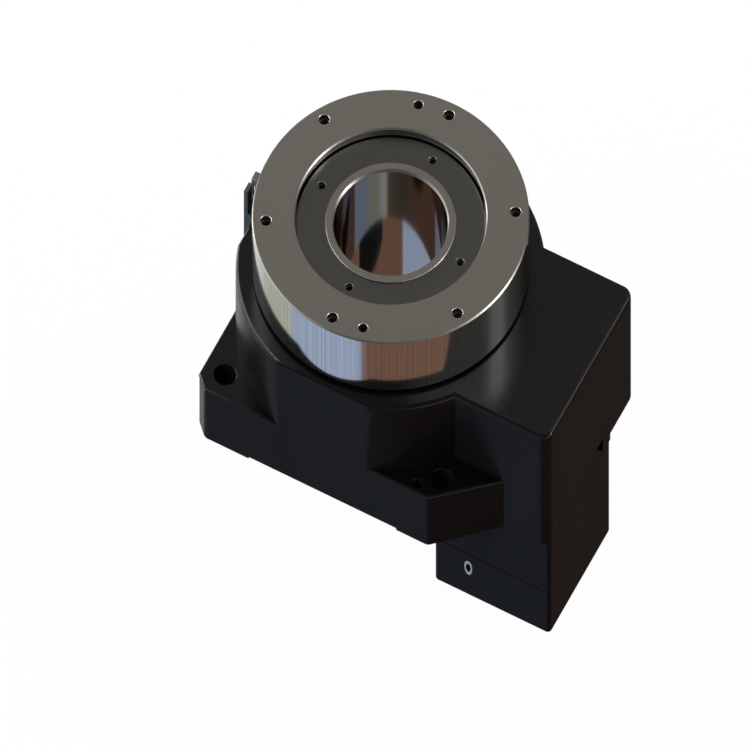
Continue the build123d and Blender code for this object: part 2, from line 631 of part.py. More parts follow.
table_seal = turned(
    [
        (TABLE_NECK_R + SEAL_NECK_GAP, BEARING_TOP_Z + SEAL_SETBACK),
        (OUTER_RACE_R + SEAL_SETBACK, BEARING_TOP_Z),
        (LIP_R, BEARING_TOP_Z),
        (LIP_R, HOUSING_TOP_Z - SEAL_SETBACK),
        (TABLE_NECK_R + SEAL_NECK_GAP, HOUSING_TOP_Z - SEAL_SETBACK),
    ]
)
save(table_seal, "table_seal")

# Driven gear, bolted under the hub so that its boss clamps the inner race
with BuildPart() as driven_gear:
    with BuildSketch(Plane.XY.offset(GEAR_BOTTOM_Z)):
        with BuildLine():
            Polyline(*gear_outline(GEAR_TEETH, PINION_ANGLE, 2), close=True)
        make_face()
    extrude(amount=GEAR_FACE)
    with Locations((0, 0, GEAR_TOOTH_TOP_Z)):
        Cylinder(INNER_RACE_R - GEAR_BOSS_STEP, GEAR_BOSS_HEIGHT, align=BOTTOM)
    with Locations((0, 0, GEAR_BOTTOM_Z)):
        Cylinder(HUB_BORE_R, BEARING_BOTTOM_Z, align=BOTTOM, mode=Mode.SUBTRACT)
        with PolarLocations(GEAR_SCREW_R, GEAR_SCREW_COUNT):
            Cylinder(GEAR_SCREW_D / 2, BEARING_BOTTOM_Z, align=BOTTOM, mode=Mode.SUBTRACT)
            Cylinder(head_pocket(GEAR_SCREW_D), GEAR_SCREW_D, align=BOTTOM, mode=Mode.SUBTRACT)
save(driven_gear, "driven_gear")

gear_screw_spots = PolarLocations(GEAR_SCREW_R, GEAR_SCREW_COUNT).local_locations
gear_screws = cap_screws(
    [
        Location((spot.position.X, spot.position.Y, GEAR_BOTTOM_Z + GEAR_SCREW_D), DOWN)
        for spot in gear_screw_spots
    ],
    GEAR_SCREW_D,
    GEAR_SCREW_LENGTH,
)
save(gear_screws, "gear_screws")

# Centre tube: the hollow through the platform, with a foot in the cover and a shoulder for the flange
centre_tube = turned(
    [
        (TUBE_BORE_D / 2, PAD_RELIEF),
        (TUBE_FOOT_R, PAD_RELIEF),
        (TUBE_FOOT_R, PAD_RELIEF + TUBE_FOOT_THICKNESS),
        (TUBE_R, PAD_RELIEF + TUBE_FOOT_THICKNESS),
        (TUBE_R, INNER_FLANGE_BOTTOM_Z),
        (TUBE_RIM_D / 2, INNER_FLANGE_BOTTOM_Z),
        (TUBE_RIM_D / 2, TUBE_TOP_Z),
        (TUBE_BORE_D / 2 + TUBE_EDGE, TUBE_TOP_Z),
        (TUBE_BORE_D / 2, TUBE_TOP_Z - TUBE_EDGE),
    ]
)
save(centre_tube, "centre_tube")

with BuildPart() as inner_flange:
    with BuildSketch(Plane.XY.offset(INNER_FLANGE_BOTTOM_Z)):
        Circle(INNER_FLANGE_R)
        Circle(TUBE_RIM_D / 2, mode=Mode.SUBTRACT)
        with PolarLocations(INNER_FLANGE_PCD / 2, INNER_FLANGE_BOLT_COUNT, INNER_FLANGE_BOLT_START):
            Circle(INNER_FLANGE_BOLT_D / 2, mode=Mode.SUBTRACT)
    extrude(amount=INNER_FLANGE_TOP_Z - INNER_FLANGE_BOTTOM_Z)
save(inner_flange, "inner_flange")

# Bottom cover: closes the gear cavity, carries the tube's foot and clears the pinion's lower bearing
with BuildPart() as bottom_cover:
    with BuildSketch(Plane.XY.offset(PAD_RELIEF)):
        Circle(COVER_R)
        cover_tabs(COVER_TAB_RADIUS)
        Circle(TUBE_R, mode=Mode.SUBTRACT)
        with Locations((PINION_X, PINION_Y)):
            Circle(COVER_NOTCH_R, mode=Mode.SUBTRACT)
    extrude(amount=COVER_THICKNESS)
    with Locations((0, 0, PAD_RELIEF)):
        Cylinder(TUBE_FOOT_R, TUBE_FOOT_THICKNESS, align=BOTTOM, mode=Mode.SUBTRACT)
    for x, y in COVER_TAB_SPOTS:
        with Locations(Location((x, y, PAD_RELIEF), DOWN)):
            CounterSinkHole(COVER_SCREW_D / 2, HEAD_RATIO * COVER_SCREW_D / 2, COVER_THICKNESS)
save(bottom_cover, "bottom_cover")

COVER_HEAD_HEIGHT = (HEAD_RATIO - 1) * COVER_SCREW_D / 2
with BuildPart() as cover_screws:
    with BuildSketch(Plane.XZ):
        with BuildLine():
            Polyline(
                (0, PAD_RELIEF),
                (HEAD_RATIO * COVER_SCREW_D / 2 - THREAD_GAP, PAD_RELIEF),
                (COVER_SCREW_D / 2 - THREAD_GAP, PAD_RELIEF + COVER_HEAD_HEIGHT),
                (COVER_SCREW_D / 2 - THREAD_GAP, PAD_RELIEF + COVER_SCREW_LENGTH),
                (0, PAD_RELIEF + COVER_SCREW_LENGTH),
                close=True,
            )
        make_face()
    revolve(axis=Axis.Z)
    with BuildSketch(Plane.XY.offset(PAD_RELIEF)):
        RegularPolygon(SOCKET_RATIO * COVER_SCREW_D / 3, 6, major_radius=False)
    extrude(amount=COVER_HEAD_HEIGHT, mode=Mode.SUBTRACT)
screw_at_axis = cover_screws.part
with BuildPart() as cover_screws:
    with Locations(*COVER_TAB_SPOTS):
        add(screw_at_axis)
save(cover_screws, "cover_screws")

# Motor adapter: lower bearing's seat above, shaft seal's seat below
with BuildPart() as motor_adapter:
    with BuildSketch(Plane.XY.offset(ADAPTER_BOTTOM_Z)):
        with Locations((PINION_X, PINION_Y)):
            RectangleRounded(ADAPTER_WIDTH, ADAPTER_WIDTH, ADAPTER_FILLET)
    extrude(amount=ADAPTER_THICKNESS)
    with Locations((PINION_X, PINION_Y, LOWER_BEARING_BOTTOM_Z)):
        Cylinder(LOWER_BEARING_OD / 2, ADAPTER_THICKNESS, align=BOTTOM, mode=Mode.SUBTRACT)
    with Locations((PINION_X, PINION_Y, ADAPTER_BOTTOM_Z)):
        lip_r = LOWER_BEARING_OD / 2 - LOWER_LIP_REACH
        Cylinder(lip_r, ADAPTER_THICKNESS, align=BOTTOM, mode=Mode.SUBTRACT)
        seal_depth = SHAFT_SEAL_TOP_Z - ADAPTER_BOTTOM_Z
        Cylinder(SHAFT_SEAL_D / 2, seal_depth, align=BOTTOM, mode=Mode.SUBTRACT)
    for x, y in ADAPTER_SCREW_SPOTS:
        with Locations((x, y, ADAPTER_BOTTOM_Z)):
            Cylinder(ADAPTER_SCREW_D / 2, ADAPTER_THICKNESS, align=BOTTOM, mode=Mode.SUBTRACT)
            pocket_r = head_pocket(ADAPTER_SCREW_D)
            Cylinder(pocket_r, ADAPTER_SCREW_D, align=BOTTOM, mode=Mode.SUBTRACT)
    for x, y in FLANGE_SCREW_SPOTS:
        with Locations((x, y, ADAPTER_BOTTOM_Z)):
            Cylinder(FLANGE_SCREW_D / 2, FLANGE_SCREW_LENGTH / 2, align=BOTTOM, mode=Mode.SUBTRACT)
save(motor_adapter, "motor_adapter")

adapter_screws = cap_screws(
    [Location((x, y, ADAPTER_BOTTOM_Z + ADAPTER_SCREW_D), DOWN) for x, y in ADAPTER_SCREW_SPOTS],
    ADAPTER_SCREW_D,
    ADAPTER_SCREW_LENGTH,
)
save(adapter_screws, "adapter_screws")

# Motor flange: pilot bore, tapped corners and the cavity of the clamp collar
FLANGE_SEAT_Z = ADAPTER_BOTTOM_Z + FLANGE_SCREW_LENGTH / 2 - FLANGE_SCREW_LENGTH
with BuildPart() as motor_flange:
    with BuildSketch(Plane.XY.offset(FLANGE_BOTTOM_Z)):
        with Locations((PINION_X, PINION_Y)):
            RectangleRounded(ADAPTER_WIDTH, ADAPTER_WIDTH, ADAPTER_FILLET)
            Circle(COLLAR_CAVITY_R, mode=Mode.SUBTRACT)
            with GridLocations(MOTOR_BOLT_PITCH, MOTOR_BOLT_PITCH, 2, 2):
                Circle(MOTOR_BOLT_D / 2, mode=Mode.SUBTRACT)
    extrude(amount=MOTOR_FLANGE_THICKNESS)
    with Locations((PINION_X, PINION_Y, FLANGE_BOTTOM_Z)):
        Cylinder(MOTOR_PILOT_D / 2, MOTOR_PILOT_DEPTH, align=BOTTOM, mode=Mode.SUBTRACT)
    for x, y in FLANGE_SCREW_SPOTS:
        with Locations((x, y, FLANGE_BOTTOM_Z)):
            Cylinder(FLANGE_SCREW_D / 2, MOTOR_FLANGE_THICKNESS, align=BOTTOM, mode=Mode.SUBTRACT)
            pocket_r = head_pocket(FLANGE_SCREW_D)
            Cylinder(pocket_r, FLANGE_SEAT_Z - FLANGE_BOTTOM_Z, align=BOTTOM, mode=Mode.SUBTRACT)
    plug_place = Location((PINION_X - CLAMP_OFFSET, ADAPTER_FRONT_Y, CLAMP_Z), FACING_FRONT)
    with Locations(plug_place):
        Cylinder(PLUG_D / 2, ADAPTER_WIDTH / 2, align=TOP, mode=Mode.SUBTRACT)
save(motor_flange, "motor_flange")

flange_screws = cap_screws(
    [Location((x, y, FLANGE_SEAT_Z), DOWN) for x, y in FLANGE_SCREW_SPOTS],
    FLANGE_SCREW_D,
    FLANGE_SCREW_LENGTH,
)
save(flange_screws, "flange_screws")

with BuildPart() as access_plug:
    with Locations(plug_place):
        Cylinder(PLUG_D / 2 - THREAD_GAP, PLUG_LENGTH, align=TOP)
    with BuildSketch(Plane(plug_place)):
        RegularPolygon(PLUG_SOCKET / 2, 6, major_radius=False)
    extrude(amount=-PLUG_SOCKET_DEPTH, mode=Mode.SUBTRACT)
save(access_plug, "access_plug")

# Pinion shaft: teeth between two journals, hollow below for the motor's shaft
with BuildPart() as pinion_shaft:
    with BuildSketch(Plane.XY.offset(PINION_BOTTOM_Z)):
        with BuildLine():
            first_tooth = PINION_ANGLE + 180 + 180 / PINION_TEETH
            Polyline(*gear_outline(PINION_TEETH, first_tooth, 4), close=True)
        make_face()
    extrude(amount=PINION_TOP_Z - PINION_BOTTOM_Z)
    with Locations((0, 0, LOWER_BEARING_TOP_Z)):
        Cylinder(PINION_TIP_R, PINION_BOTTOM_Z - LOWER_BEARING_TOP_Z, align=BOTTOM)
        Cylinder(LOWER_BEARING_ID / 2, LOWER_BEARING_TOP_Z - COLLAR_TOP_Z, align=TOP)
    with Locations((0, 0, COLLAR_BOTTOM_Z)):
        Cylinder(COLLAR_BORE_D / 2, COLLAR_HEIGHT, align=BOTTOM)
    with Locations((0, 0, PINION_TOP_Z)):
        Cylinder(UPPER_BEARING_ID / 2 + PINION_COLLAR_STEP, PINION_COLLAR_RISE, align=BOTTOM)
        Cylinder(UPPER_BEARING_ID / 2, SHAFT_TOP_Z - PINION_TOP_Z, align=BOTTOM)
    with BuildSketch(Plane.XY.offset(UPPER_BEARING_TOP_Z)):
        Circle(UPPER_BEARING_ID / 2)
        Circle(UPPER_BEARING_ID / 2 - CIRCLIP_GROOVE, mode=Mode.SUBTRACT)
    extrude(amount=CIRCLIP_THICKNESS, mode=Mode.SUBTRACT)
    with Locations((0, 0, COLLAR_BOTTOM_Z)):
        Cylinder(MOTOR_SHAFT_D / 2, MOTOR_SHAFT_DEPTH, align=BOTTOM, mode=Mode.SUBTRACT)
        Box(COLLAR_D, SHAFT_SLIT, COLLAR_HEIGHT, align=BOTTOM, mode=Mode.SUBTRACT)
pinion_at_axis = pinion_shaft.part
with BuildPart() as pinion_shaft:
    with Locations((PINION_X, PINION_Y)):
        add(pinion_at_axis)
save(pinion_shaft, "pinion_shaft")

PINION_BEARINGS = {
    "upper": (UPPER_BEARING_ID, UPPER_BEARING_OD, UPPER_BEARING_BOTTOM_Z, UPPER_ROLLER_D, UPPER_ROLLER_COUNT),
    "lower": (LOWER_BEARING_ID, LOWER_BEARING_OD, LOWER_BEARING_BOTTOM_Z, LOWER_ROLLER_D, LOWER_ROLLER_COUNT),
}
for place, (inner_d, outer_d, bottom_z, roller_d, count) in PINION_BEARINGS.items():
    mean_r = (inner_d + outer_d) / 4
    track = roller_d / 2 + PINION_ROLLER_PLAY
    save(pinion_inner_ring(inner_d / 2, mean_r - track, bottom_z), f"{place}_pinion_bearing_inner")
    save(pinion_outer_ring(mean_r + track, outer_d / 2, bottom_z), f"{place}_pinion_bearing_outer")
    save(pinion_rollers(mean_r, bottom_z, roller_d, count), f"{place}_pinion_rollers")

GROOVE_FLOOR_R = UPPER_BEARING_ID / 2 - CIRCLIP_GROOVE
pinion_circlip = split_ring(
    GROOVE_FLOOR_R,
    GROOVE_FLOOR_R + CIRCLIP_HEIGHT,
    UPPER_BEARING_TOP_Z,
    CIRCLIP_THICKNESS,
    CIRCLIP_OPENING,
    (PINION_X, PINION_Y),
    0,
)
save(pinion_circlip, "pinion_circlip")

with BuildPart() as shaft_seal:
    with BuildSketch(Plane.XY.offset(ADAPTER_BOTTOM_Z + SHAFT_SEAL_INSET)):
        with Locations((PINION_X, PINION_Y)):
            Circle(SHAFT_SEAL_D / 2)
            Circle(LOWER_BEARING_ID / 2 + SHAFT_SEAL_GAP, mode=Mode.SUBTRACT)
    extrude(amount=SHAFT_SEAL_TOP_Z - ADAPTER_BOTTOM_Z - SHAFT_SEAL_INSET)
save(shaft_seal, "shaft_seal")

# Clamp collar: squeezes the slit end of the shaft, with its screw in line with the access plug
clamp_seat = Location((PINION_X - CLAMP_OFFSET, PINION_Y - CLAMP_SEAT, CLAMP_Z), FACING_FRONT)
with BuildPart() as clamp_collar:
    with BuildSketch(Plane.XY.offset(COLLAR_BOTTOM_Z)):
        with Locations((PINION_X, PINION_Y)):
            Circle(COLLAR_D / 2)
            Circle(COLLAR_BORE_D / 2, mode=Mode.SUBTRACT)
            Rectangle(COLLAR_D, COLLAR_SLIT, align=(Align.MAX, Align.CENTER), mode=Mode.SUBTRACT)
        corner_x = PINION_X - CLAMP_OFFSET + head_pocket(CLAMP_SCREW_D)
        with Locations((corner_x, PINION_Y - CLAMP_SEAT)):
            Rectangle(COLLAR_D, COLLAR_D, align=(Align.MAX, Align.MAX), mode=Mode.SUBTRACT)
    extrude(amount=COLLAR_HEIGHT)
    with Locations(clamp_seat):
        Cylinder(CLAMP_SCREW_D / 2, COLLAR_D, align=TOP, mode=Mode.SUBTRACT)
save(clamp_collar, "clamp_collar")
save(cap_screws([clamp_seat], CLAMP_SCREW_D, CLAMP_SCREW_LENGTH), "clamp_screw")

# Home sensor: a U-slot body on the left flat, with a lug for two screws
with BuildPart() as sensor_body:
    with BuildSketch(Plane((0, SENSOR_Y, 0), x_dir=(1, 0, 0), z_dir=(0, -1, 0))):
        with BuildLine():
            Polyline(
                (-BASE_HALF, SENSOR_LUG_Z),
                (-BASE_HALF, HOUSING_TOP_Z + SENSOR_TOP_RISE),
                (SENSOR_SLOT_X + SENSOR_SLOT_WIDTH / 2, HOUSING_TOP_Z + SENSOR_TOP_RISE),
                (SENSOR_SLOT_X + SENSOR_SLOT_WIDTH / 2, SENSOR_FLOOR_Z),
                (SENSOR_SLOT_X - SENSOR_SLOT_WIDTH / 2, SENSOR_FLOOR_Z),
                (SENSOR_SLOT_X - SENSOR_SLOT_WIDTH / 2, HOUSING_TOP_Z + SENSOR_TOP_RISE),
                (-BASE_HALF - SENSOR_REACH, HOUSING_TOP_Z + SENSOR_TOP_RISE),
                (-BASE_HALF - SENSOR_REACH, SENSOR_BODY_Z),
                (-BASE_HALF - SENSOR_LUG_THICKNESS, SENSOR_BODY_Z),
                (-BASE_HALF - SENSOR_LUG_THICKNESS, SENSOR_LUG_Z),
                close=True,
            )
        make_face()
    extrude(amount=SENSOR_WIDTH / 2, both=True)
    for screw_z in SENSOR_SCREW_SPOTS:
        with Locations(Location((-BASE_HALF, SENSOR_Y, screw_z), FACING_LEFT)):
            Cylinder(SENSOR_SCREW_D / 2, SENSOR_LUG_THICKNESS, align=BOTTOM, mode=Mode.SUBTRACT)
save(sensor_body, "sensor_body")

sensor_screws = cap_screws(
    [
        Location((-BASE_HALF - SENSOR_LUG_THICKNESS, SENSOR_Y, screw_z), FACING_LEFT)
        for screw_z in SENSOR_SCREW_SPOTS
    ],
    SENSOR_SCREW_D,
    SENSOR_LUG_THICKNESS + SENSOR_SCREW_LENGTH - HOLE_ALLOWANCE,
)
save(sensor_screws, "sensor_screws")

# Sensor flag: a bent channel of flat strip, its tab hanging in the sensor's slot, with a hole for the key
with BuildPart() as sensor_flag:
    with BuildSketch(Plane.XZ):
        tip_x = SENSOR_SLOT_X - FLAG_THICKNESS / 2
        with BuildLine():
            Polyline(
                (FLAG_SEAT_X, FLAG_FOOT_Z),
                (FLAG_SEAT_X, FLAG_ARM_TOP_Z),
                (tip_x, FLAG_ARM_TOP_Z),
                (tip_x, FLAG_TIP_Z),
                (tip_x + FLAG_THICKNESS, FLAG_TIP_Z),
                (tip_x + FLAG_THICKNESS, FLAG_ARM_Z),
                (FLAG_SEAT_X - FLAG_THICKNESS, FLAG_ARM_Z),
                (FLAG_SEAT_X - FLAG_THICKNESS, FLAG_FOOT_Z),
                close=True,
            )
        make_face()
    extrude(amount=FLAG_WIDTH / 2, both=True)
    with Locations(Location((FLAG_SEAT_X, 0, FLAG_SCREW_Z), FACING_LEFT)):
        Cylinder(FLAG_SCREW_D / 2, FLAG_THICKNESS, align=BOTTOM, mode=Mode.SUBTRACT)
    with Locations(Location((tip_x + FLAG_THICKNESS, 0, FLAG_SCREW_Z), FACING_LEFT)):
        Cylinder(FLAG_ACCESS_D / 2, FLAG_THICKNESS, align=BOTTOM, mode=Mode.SUBTRACT)
save(sensor_flag, "sensor_flag")

flag_seat = Location((FLAG_SEAT_X - FLAG_THICKNESS, 0, FLAG_SCREW_Z), FACING_LEFT)
save(cap_screws([flag_seat], FLAG_SCREW_D, FLAG_SCREW_LENGTH), "flag_screw")
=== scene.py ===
"""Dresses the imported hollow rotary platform: shells, screws, threads, materials and a studio stage."""

import json
import math
from collections import Counter
from contextlib import contextmanager
from functools import cache

import bmesh
import bpy
from bpy.props import FloatProperty, FloatVectorProperty, IntProperty, PointerProperty
from mathutils import Matrix, Vector


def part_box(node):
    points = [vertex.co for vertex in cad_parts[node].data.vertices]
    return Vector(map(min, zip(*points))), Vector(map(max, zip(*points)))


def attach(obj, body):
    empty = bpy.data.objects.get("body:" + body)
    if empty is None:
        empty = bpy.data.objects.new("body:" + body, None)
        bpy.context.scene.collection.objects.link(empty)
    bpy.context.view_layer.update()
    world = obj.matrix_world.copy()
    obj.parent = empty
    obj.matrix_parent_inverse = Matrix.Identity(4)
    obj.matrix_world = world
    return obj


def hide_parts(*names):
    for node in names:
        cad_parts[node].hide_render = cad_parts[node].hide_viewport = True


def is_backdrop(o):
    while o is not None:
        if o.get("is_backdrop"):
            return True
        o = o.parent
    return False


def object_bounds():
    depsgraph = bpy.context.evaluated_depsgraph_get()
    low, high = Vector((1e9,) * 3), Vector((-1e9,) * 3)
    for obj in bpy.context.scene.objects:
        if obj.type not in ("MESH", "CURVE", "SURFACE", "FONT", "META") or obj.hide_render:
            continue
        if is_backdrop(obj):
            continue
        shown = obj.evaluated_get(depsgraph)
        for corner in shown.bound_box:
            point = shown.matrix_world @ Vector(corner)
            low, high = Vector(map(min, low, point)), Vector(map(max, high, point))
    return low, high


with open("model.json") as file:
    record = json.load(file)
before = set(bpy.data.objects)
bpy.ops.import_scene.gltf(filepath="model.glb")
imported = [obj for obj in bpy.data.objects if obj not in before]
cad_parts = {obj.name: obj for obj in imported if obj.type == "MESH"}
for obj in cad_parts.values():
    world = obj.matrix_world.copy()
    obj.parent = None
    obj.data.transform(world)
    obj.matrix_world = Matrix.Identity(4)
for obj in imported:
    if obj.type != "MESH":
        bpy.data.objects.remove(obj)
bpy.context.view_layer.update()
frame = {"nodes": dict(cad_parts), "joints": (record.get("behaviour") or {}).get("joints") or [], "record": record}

bl_info = {
    "name": "Hollow rotary platform",
    "version": (1, 0, 0),
    "blender": (4, 5, 0),
    "location": "View3D > Sidebar > Platform",
    "description": "Black geared housing, steel table with an open centre, screws, threads and a pale stage",
    "category": "Object",
}

# Metres throughout, as in the frame
MM = 0.001
MERGE_DISTANCE = 0.001 * MM
FLAT_ANGLE = math.radians(0.2)
SHARP_ANGLE = math.radians(30)
BEVEL_ANGLE = math.radians(50)
EDGE_WEIGHT = "bevel_weight_edge"
IMAGE_SIDE = 750
MOUNTS = {mount["name"]: mount for mount in frame["record"]["mounts"]}

# Sides of round shapes
RING_SIDES = 192
HEAD_SIDES = 40
HOLE_SIDES = 28
THREAD_SIDES = 22
RIDGE_SIDES = 4
HEX_SIDES = 6

# How a turned corner is told from other corners
RING_CORNERS = 20
ROUNDING = 5
NEAR = 0.03 * MM

# Angle of the first hole of a bolt circle, in degrees
FIRST_HOLE = {"table_bolts": 30.0, "inner_flange_bolts": -3.3}

# Socket screws: head over thread, chamfer over head, and how far the socket's cutter stands past its ends
CAP_HEAD_RATIO = 1.8
CHAMFER_SHARE = 0.12
CUTTER_MARGIN = 0.01

# A face is upright if its normal rises less than this
UPRIGHT_SLOPE = 0.5

# How far clouds, rings and streaks change the colour and roughness of a finish
CLOUD_TINT = 0.35
CLOUD_ROUGH = 0.12
RING_TINT = 0.10
RING_ROUGH = 0.10
STREAK_ROUGH = 0.06

# Least roughness of the black finish, and how much glossier its edges are
BLACK_ROUGH = 0.22
EDGE_GLOSS = 0.14

# Painted highlights for the rounds of edges, and painted shade for the walls and threads of holes
TABLE_EDGE_FACE_HIGHLIGHT = (0.84, 0.83, 0.79)
TABLE_EDGE_WALL_HIGHLIGHT = (0.84, 0.84, 0.81)
FLANGE_EDGE_HIGHLIGHT = (0.3, 0.29, 0.27)
TUBE_EDGE_HIGHLIGHT = (0.5, 0.49, 0.47)
HOLE_SHADE = (0.065, 0.060, 0.052)


# Sizes and colours that a user would change


def length(name, description, millimetres):
    """A length property in metres, given in millimetres."""
    kind = {"min": 0.0, "precision": 5, "unit": "LENGTH", "subtype": "DISTANCE"}
    return FloatProperty(name=name, description=description, default=millimetres * MM, **kind)


def colour(name, description, red, green, blue):
    """A linear colour property."""
    kind = {"min": 0.0, "max": 1.0, "size": 3, "subtype": "COLOR"}
    return FloatVectorProperty(name=name, description=description, default=(red, green, blue), **kind)


class PlatformSizes(bpy.types.PropertyGroup):
    """Sizes of the finish: edge rounds, screws and threads."""

    cast_edge: length("Housing edge", "Round on the edges of the black pieces", 0.12)
    ear_corner: length("Ear corner", "How far back the round on an ear's upright corner starts", 1.0)
    flush_edge: length("Flush edge", "Round on the motor adapter, which meets the housing flush", 0.04)
    seam_edge: length("Seam edge", "Round on the motor flange, which shows as a dark seam", 0.14)
    turned_edge: length("Turned edge", "Round on the edges of the steel pieces", 0.07)
    small_edge: length("Small edge", "Round on the sensor, the flag and other small pieces", 0.08)
    screw_edge: length("Screw edge", "Round on the screws of the cover", 0.05)
    edge_steps: IntProperty(name="Edge steps", description="Faces across an edge round", default=2, min=1)
    thread_depth: length("Thread depth", "How far a thread stands into its hole", 0.16)
    thread_run: length("Thread run", "Length of thread shown in the table", 6.4)
    flange_run: length("Flange thread run", "Length of thread shown in the inner flange", 2.4)
    table_thread: length("Table thread pitch", "Pitch of the table's tapped holes", 0.7)
    flange_thread: length("Flange thread pitch", "Pitch of the inner flange's tapped holes", 0.5)


class PlatformColours(bpy.types.PropertyGroup):
    """Base colours of the finishes."""

    housing: colour("Housing", "Black anodised walls", 0.0052, 0.0052, 0.0054)
    # Housing top is painted shade: the housing's black, painted darker and warmer on faces that look up.
    housing_top_painted_shade: colour("Housing top", "Black anodised faces that look up", 0.0040, 0.0036, 0.0028)
    # Table face and tube rim are painted shade: darker than their polished walls of the same steel, for the dim
    # surroundings that their faces reflect.
    table_face_painted_shade: colour("Table face", "Satin face of the table", 0.188, 0.175, 0.152)
    table_wall: colour("Table wall", "Polished wall of the table", 0.56, 0.56, 0.55)
    flange: colour("Inner flange", "Dark satin disc inside the table", 0.067, 0.063, 0.053)
    tube_rim_painted_shade: colour("Tube rim", "Satin rim of the centre tube", 0.188, 0.177, 0.157)
    tube_bore: colour("Tube bore", "Polished bore of the centre tube", 0.42, 0.41, 0.40)
    gear: colour("Gear steel", "Machined gear steel", 0.30, 0.30, 0.31)
    bearing: colour("Bearing steel", "Ground bearing steel", 0.55, 0.55, 0.55)
    spring: colour("Spring steel", "Phosphated spring steel", 0.10, 0.10, 0.105)
    bright: colour("Bright zinc", "Plug and small bright screws", 0.48, 0.47, 0.44)
    flag: colour("Flag steel", "Satin steel strip of the flag", 0.16, 0.157, 0.15)
    oxide: colour("Black oxide", "Black socket screws", 0.022, 0.022, 0.024)
    rubber: colour("Rubber", "Seals", 0.016, 0.016, 0.017)
    spacer: colour("Spacer", "Natural plastic between the rollers", 0.68, 0.62, 0.50)
    sensor: colour("Sensor", "Blue-black moulded plastic", 0.034, 0.040, 0.047)


# Node trees, and the shader groups that several finishes share


class Tree:
    """Short calls to add and join nodes in one tree."""

    def __init__(self, tree):
        self.tree = tree

    def add(self, kind, values=None, **settings):
        node = self.tree.nodes.new(kind)
        for key, value in settings.items():
            setattr(node, key, value)
        self.put(node, values or {})
        return node

    def put(self, node, values):
        """Joins sockets to a node's inputs and sets its plain values."""
        for key, value in values.items():
            if isinstance(value, bpy.types.NodeSocket):
                self.tree.links.new(value, node.inputs[key])
            else:
                node.inputs[key].default_value = value

    def math(self, operation, *values):
        return self.add("ShaderNodeMath", dict(enumerate(values)), operation=operation).outputs[0]

    def minus(self, first, second):
        return self.math("SUBTRACT", first, second)

    def times(self, first, second, *plus):
        """The product of two values, with a third added to it where one is given."""
        return self.math("MULTIPLY_ADD" if plus else "MULTIPLY", first, second, *plus)

    def ramp(self, value, low, high, to_low=0.0, to_high=1.0):
        values = {"Value": value, "From Min": low, "From Max": high, "To Min": to_low, "To Max": to_high}
        return self.add("ShaderNodeMapRange", values).outputs["Result"]

    def scale(self, vector, factor):
        return self.add("ShaderNodeVectorMath", {0: vector, "Scale": factor}, operation="SCALE").outputs[0]

    def parts(self, vector):
        return self.add("ShaderNodeSeparateXYZ", {0: vector}).outputs

    def vector(self, **parts):
        return self.add("ShaderNodeCombineXYZ", parts).outputs[0]

    def move(self, mesh, place):
        return self.add("GeometryNodeTransform", {"Geometry": mesh, "Translation": place}).outputs[0]

    def frustum(self, low_radius, high_radius, low, high, sides=RING_SIDES):
        """An upright cone between two heights, without its tip."""
        depth = self.minus(high, low)
        values = {"Vertices": sides, "Radius Bottom": low_radius, "Radius Top": high_radius, "Depth": depth}
        cone = self.add("GeometryNodeMeshCone", values, fill_type="NGON")
        return self.move(cone.outputs["Mesh"], self.vector(Z=low))

    def bar(self, radius, low, high, sides=RING_SIDES):
        return self.frustum(radius, radius, low, high, sides)

    def real(self, instances):
        return self.add("GeometryNodeRealizeInstances", {0: instances}).outputs[0]

    def copies(self, points, shape, **more):
        """A real copy of a shape on each point."""
        values = {"Points": points, "Instance": shape, **more}
        return self.real(self.add("GeometryNodeInstanceOnPoints", values).outputs[0])

    def coat(self, mesh, material, **more):
        values = {"Geometry": mesh, "Material": material, **more}
        return self.add("GeometryNodeSetMaterial", values).outputs[0]

    def combine(self, operation, first, *others):
        """Adds meshes to a first one or cuts them from it; a union has no first one."""
        values = {"Mesh 1": first} if first else {}
        node = self.add("GeometryNodeMeshBoolean", values, operation=operation, solver="EXACT")
        for other in others:
            self.put(node, {"Mesh 2": other})
        return node.outputs["Mesh"]


SOCKETS = {float: "NodeSocketFloat", int: "NodeSocketInt", bpy.types.Material: "NodeSocketMaterial"}


def new_group(name, inputs, outputs=()):
    """An empty shader group, or without outputs a geometry group, as (Tree, input node, output node)."""
    group = bpy.data.node_groups.new(name, "ShaderNodeTree" if outputs else "GeometryNodeTree")
    new_socket = group.interface.new_socket
    if not outputs:
        for way in ("INPUT", "OUTPUT"):
            new_socket("Geometry", in_out=way, socket_type="NodeSocketGeometry")
    for socket, value in inputs.items():
        made = new_socket(socket, in_out="INPUT", socket_type=SOCKETS[type(value)])
        made.default_value = value
    for socket in outputs:
        new_socket(socket, in_out="OUTPUT", socket_type="NodeSocketFloat")
    tree = Tree(group)
    return tree, tree.add("NodeGroupInput"), tree.add("NodeGroupOutput")


@cache
def turning_marks():
    """Fine rings left by a lathe, round the given axis, and streaks along it on the walls, which in a wall's
    colour also paint reflection streaks.
    """
    inputs = {"Centre X": 0.0, "Centre Y": 0.0, "Ring Scale": 9000.0, "Streak Scale": 70.0}
    inputs |= {"Wall Slope": 0.45, "Face Slope": 0.85}
    tree, given, result = new_group("Turning marks", inputs, ("Ring", "Streak", "Facing Up"))
    size = given.outputs
    place = tree.add("ShaderNodeTexCoord").outputs
    parts = tree.parts(place["Object"])
    x = tree.minus(parts["X"], size["Centre X"])
    y = tree.minus(parts["Y"], size["Centre Y"])

    def noise(way, scale, detail):
        values = {"W": tree.times(way, scale), "Scale": 1.0, "Detail": detail}
        return tree.add("ShaderNodeTexNoise", values, noise_dimensions="1D").outputs["Fac"]

    radius = tree.math("SQRT", tree.times(x, x, tree.times(y, y)))
    ring = noise(radius, size["Ring Scale"], 3.0)
    streak = noise(tree.math("ARCTAN2", y, x), size["Streak Scale"], 4.0)
    rise = tree.math("ABSOLUTE", tree.parts(place["Normal"])["Z"])
    up = tree.ramp(rise, size["Wall Slope"], size["Face Slope"])
    tree.put(result, {"Ring": ring, "Streak": streak, "Facing Up": up})
    return tree.tree


